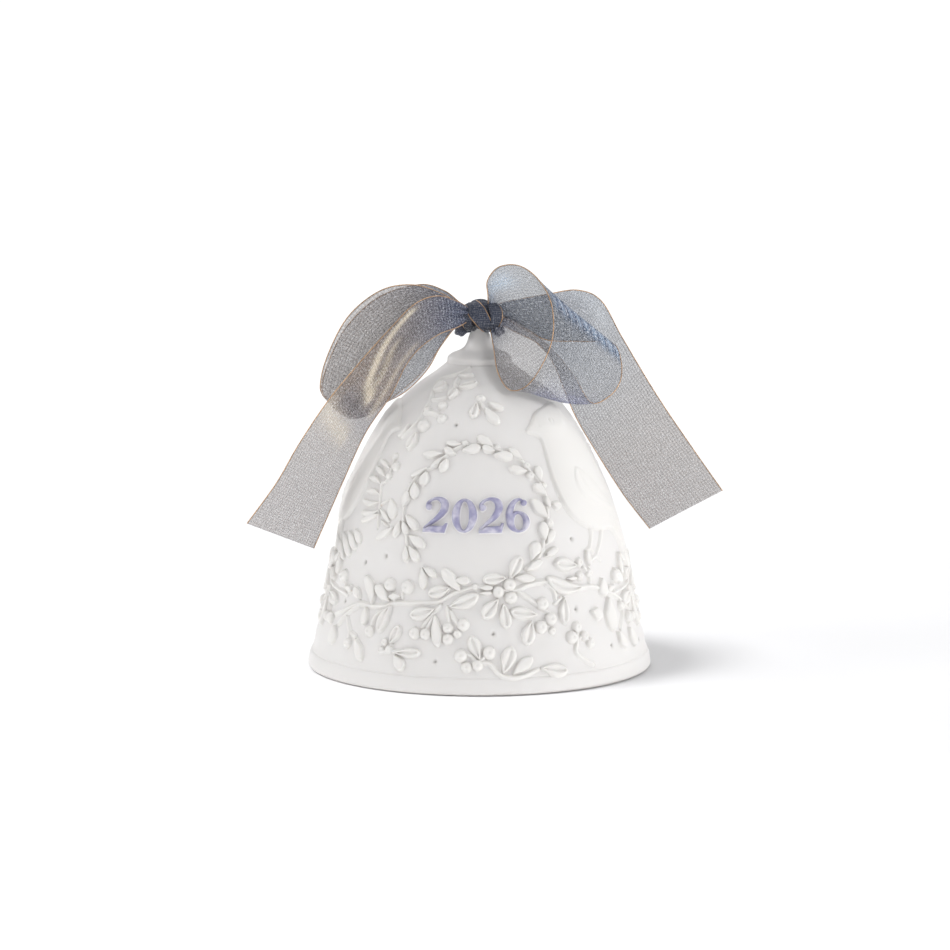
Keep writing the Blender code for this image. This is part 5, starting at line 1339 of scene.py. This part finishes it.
def knot():
    bodies = []
    # core
    rows, cols = 36, 48
    u = np.linspace(0.02, math.pi - 0.02, rows)[:, None]
    v = (np.arange(cols) * 2 * math.pi / cols)[None, :]
    wind = 1 + 0.05 * np.sin(7 * v + 5 * np.cos(u)) * np.sin(u)
    core = np.stack([3.3 * wind * np.sin(u) * np.cos(v), 2.4 * wind * np.sin(u) * np.sin(v), -3.0 * np.cos(u) + 0 * v], axis=-1)
    core = core.reshape(-1, 3) + KNOT_C
    faces = []
    for i in range(rows - 1):
        for k in range(cols):
            m = (k + 1) % cols
            faces.append((i * cols + k, i * cols + m, (i + 1) * cols + m, (i + 1) * cols + k))
    faces.append(tuple(range(cols - 1, -1, -1)))
    faces.append(tuple(range((rows - 1) * cols, rows * cols)))
    bodies.append((core, faces))
    made = [
        # first turn, across the middle and down to the right
        wrap("a", [(-2.4, -4.6, 84.2), (-1.6, -8.9, 84.5), (0.1, -10.4, 82.3), (1.7, -9.4, 79.7), (2.4, -6.0, 78.5)],
             [2.8, 3.8, 4.0, 3.3, 2.4], [(-0.3, -0.4, 0.9), (-0.3, -0.9, 0.5), (0, -1, 0.1), (0.2, -0.9, -0.4), (0.3, -0.4, -0.9)]),
        # second turn, looped round the right side
        wrap("b", [(1.6, -4.8, 84.7), (3.2, -8.2, 84.4), (3.8, -9.7, 82.3), (3.2, -8.8, 79.8), (2.0, -6.2, 78.6)],
             [2.4, 3.0, 3.3, 2.9, 2.0], [(0.3, -0.3, 0.9), (0.4, -0.9, 0.4), (0.3, -1, 0), (0.3, -0.9, -0.4), (0.2, -0.4, -0.9)], phase=1.3),
        # left shoulder, where the loop and tail leave the knot
        wrap("c", [(-1.0, -5.2, 79.0), (-2.4, -8.0, 79.4), (-3.0, -9.3, 81.9), (-2.7, -8.4, 84.2), (-1.6, -5.6, 84.9)],
             [1.8, 2.5, 3.0, 2.7, 2.0], [(-0.3, -0.3, -0.9), (-0.4, -0.9, -0.4), (-0.4, -0.9, 0), (-0.3, -0.9, 0.4), (-0.2, -0.4, 0.9)], phase=2.2),
        # hood over the top
        wrap("d", [(-2.9, -6.4, 83.8), (-1.2, -7.2, 84.9), (1.4, -7.0, 84.9), (3.2, -6.0, 83.5)],
             [3.0, 3.6, 3.6, 2.8], [(-0.4, -0.3, 0.8), (-0.1, -0.3, 1), (0.1, -0.3, 1), (0.4, -0.2, 0.8)], phase=0.7),
    ]
    for verts, faces_, *_ in made:
        bodies.append((verts, faces_))
    cloth = sum(len(f) for _, f in bodies)
    for verts, _, count, rows, _ in made[:3]:      # the corded edges show on the outer turns
        lines = verts.reshape(count, rows, 3)
        bodies.append(bead(lines[6:-6, 1], 0.11))
    bodies.append(bead(made[0][0].reshape(90, 25, 3)[6:-6, 12], 0.11))
    verts, faces = joined(bodies)
    obj = mesh_object("bow_knot", verts, faces, [ORGANZA_KNOT, SELVEDGE])
    index = np.zeros(len(faces), np.int32)
    index[cloth:] = 1
    obj.data.polygons.foreach_set("material_index", index)
    rel = verts - KNOT_C
    weave = np.stack([rel[:, 0] + 0.4 * rel[:, 1], rel[:, 2] + 0.3 * rel[:, 1], rel[:, 1]], axis=1)
    # painted light: the knot's navy is paler towards its top and front, where the light falls
    light = smooth((rel[:, 1] * -0.25 + rel[:, 2] * 0.12 + 0.1))
    tint = blend_tint(NAVY * 0.16, np.array((0.018, 0.026, 0.055)), light)
    point_attribute(obj, "weave", weave, "FLOAT_VECTOR")
    point_attribute(obj, "tint", np.concatenate([tint, np.ones((len(tint), 1))], axis=1), "FLOAT_COLOR")
    point_attribute(obj, "cover", np.full(len(verts), 1.4))
    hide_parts("ribbon_knot")
    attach(obj, "bow")
    return obj


knot()


def eye_strand():
    """The gathered ribbon that runs through the lug's eye."""
    path = spline([(-3.6, -5.4, 79.4), (-4.3, -4.0, 78.5), (-4.4, -1.7, 78.3), (-3.1, 0.0, 78.9), (0, 0.1, 79.0),
                   (3.1, 0.0, 78.9), (4.4, -1.7, 78.3), (4.3, -4.0, 78.5), (3.6, -5.4, 79.4)], 90)
    along = normalised(np.gradient(path, axis=0))
    up = np.array([0.0, 0.3, 1.0])
    sides = 22
    t = np.arange(sides) * 2 * math.pi / sides
    verts = []
    for i, p in enumerate(path):
        side = np.cross(along[i], up)
        side = side / np.linalg.norm(side)
        other = np.cross(side, along[i])
        r = 1.32 * (1 + 0.12 * np.sin(5 * t + 0.12 * i))
        if abs(p[0]) < 2.9:
            r = np.minimum(r, 1.45)
        verts.append(p + r[:, None] * (np.cos(t)[:, None] * side + np.sin(t)[:, None] * other))
    faces = []
    for i in range(len(path) - 1):
        for k in range(sides):
            m = (k + 1) % sides
            faces.append((i * sides + k, i * sides + m, (i + 1) * sides + m, (i + 1) * sides + k))
    faces.append(tuple(range(sides - 1, -1, -1)))
    faces.append(tuple(range((len(path) - 1) * sides, len(path) * sides)))
    verts = np.vstack(verts)
    obj = mesh_object("bow_eye_strand", verts, faces, ORGANZA_KNOT)
    weave = np.stack([np.repeat(np.arange(90) * 0.2, sides), np.tile(t * 1.3, 90), np.zeros(len(verts))], axis=1)
    point_attribute(obj, "weave", weave, "FLOAT_VECTOR")
    tint = np.tile([*(NAVY * 0.6), 1.0], (len(verts), 1))
    point_attribute(obj, "tint", tint, "FLOAT_COLOR")
    point_attribute(obj, "cover", np.full(len(verts), 1.4))
    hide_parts("ribbon_eye_strand")
    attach(obj, "bow")


eye_strand()


# ======================================================================================
# floor, light and camera
# ======================================================================================
def floor():
    """A pale table that runs out into an evenly lit white sweep, as seen by the camera."""
    mat, tree, shader = new_material("studio_floor")
    where = node(tree, "ShaderNodeTexCoord").outputs["Object"]
    cloud = node(tree, "ShaderNodeTexNoise", {"Vector": where, "Scale": 3.0, "Detail": 2.0})
    seen = node(tree, "ShaderNodeLightPath").outputs["Is Camera Ray"]
    colour = mix_colour(tree, cloud.outputs[0], (0.73, 0.73, 0.73), (0.76, 0.76, 0.76))
    colour = mix_colour(tree, math_node(tree, "MULTIPLY", seen, 1.0), colour, (0.60, 0.60, 0.61))
    tree.links.new(colour, shader.inputs["Base Color"])
    shader.inputs["Roughness"].default_value = 0.9
    shader.inputs["Specular IOR Level"].default_value = 0.1
    away = node(tree, "ShaderNodeVectorMath", {0: where}, operation="LENGTH").outputs["Value"]
    fade = node(tree, "ShaderNodeMapRange", {"Value": away, "From Min": 0.06, "From Max": 0.45, "To Min": 0.0, "To Max": 1.0},
                interpolation_type="SMOOTHSTEP").outputs[0]
    sweep = node(tree, "ShaderNodeEmission", {"Color": (1.0, 1.0, 1.0, 1.0), "Strength": 1.05})
    lit = node(tree, "ShaderNodeMixShader", {0: math_node(tree, "MULTIPLY", fade, seen), 1: shader.outputs[0], 2: sweep.outputs[0]})
    glow = node(tree, "ShaderNodeEmission", {"Color": (1.0, 1.0, 1.0, 1.0), "Strength": math_node(tree, "MULTIPLY", seen, 0.06)})
    total = node(tree, "ShaderNodeAddShader", {0: lit.outputs[0], 1: glow.outputs[0]})
    tree.links.new(total.outputs[0], tree.nodes["Material Output"].inputs["Surface"])
    mesh = bpy.data.meshes.new("studio_floor")
    mesh.from_pydata([(-4, -4, 0), (4, -4, 0), (4, 4, 0), (-4, 4, 0)], [], [(0, 1, 2, 3)])
    mesh.materials.append(mat)
    obj = bpy.data.objects.new("studio_floor", mesh)
    bpy.context.scene.collection.objects.link(obj)
    obj.location.z = -0.0001
    return obj


def softbox(name, at, side, share):
    """A square light aimed at the bell. share is the light it alone would put on a face
    turned straight to it, as a fraction of full white."""
    data = bpy.data.lights.new(name, "AREA")
    data.shape, data.size, data.size_y = "RECTANGLE", side, side
    aim = Vector(at) - Vector((0, 0, 0.04))
    data.energy = share * 0.5 * math.pi ** 2 * aim.length_squared
    obj = bpy.data.objects.new(name, data)
    bpy.context.scene.collection.objects.link(obj)
    obj.location = at
    obj.rotation_euler = aim.to_track_quat("Z", "Y").to_euler()
    return obj


def only(name, obj):
    group = bpy.data.collections.new(name)
    group.objects.link(obj)
    return group


table = floor()
# falls on the table alone and lays the bell's soft shadow to its right
shadow_key = softbox("table_key", (-0.50, -0.14, 0.90), 0.30, 1.80)
shadow_key.light_linking.receiver_collection = only("lit_by_table_key", table)
shadow_key.light_linking.blocker_collection = only("shades_table_key", wall)
softbox("overhead", (0.0, 0.0, 1.0), 0.8, 0.83)
softbox("right_low", (0.80, -0.20, 0.15), 0.3, 0.64)
softbox("right_back", (0.70, 0.50, 0.35), 0.4, 0.43)
softbox("right_front", (0.50, -0.90, 0.50), 0.4, 0.52)
softbox("left", (-0.80, -0.20, 0.40), 0.4, 0.66)
softbox("left_back", (-0.70, 0.50, 0.45), 0.4, 0.40)
softbox("back", (0.0, 0.9, 0.5), 0.5, 0.30)
world = bpy.data.worlds.new("studio")
bpy.context.scene.world = world
world.use_nodes = True
wtree = world.node_tree
seen = node(wtree, "ShaderNodeLightPath").outputs["Is Camera Ray"]
strength = math_node(wtree, "ADD", math_node(wtree, "MULTIPLY", seen, 0.9), 0.15)
wtree.nodes["Background"].inputs["Color"].default_value = (1.0, 1.0, 1.0, 1.0)
wtree.links.new(strength, wtree.nodes["Background"].inputs["Strength"])
bpy.context.scene.view_settings.view_transform = "Standard"
bpy.context.scene.view_settings.look = "None"
bpy.context.scene.view_settings.exposure = 0.0
bpy.context.scene.cycles.transparent_max_bounces = 16

eye = bpy.data.cameras.new("camera")
eye.lens, eye.sensor_width = 146.9, 36.0
eye.clip_start, eye.clip_end = 0.02, 20.0
camera = bpy.data.objects.new("camera", eye)
bpy.context.scene.collection.objects.link(camera)
camera.location = LAYOUT_EYE * MM
camera.rotation_euler = (math.pi / 2 - TILT, 0.0, 0.0)
bpy.context.scene.camera = camera
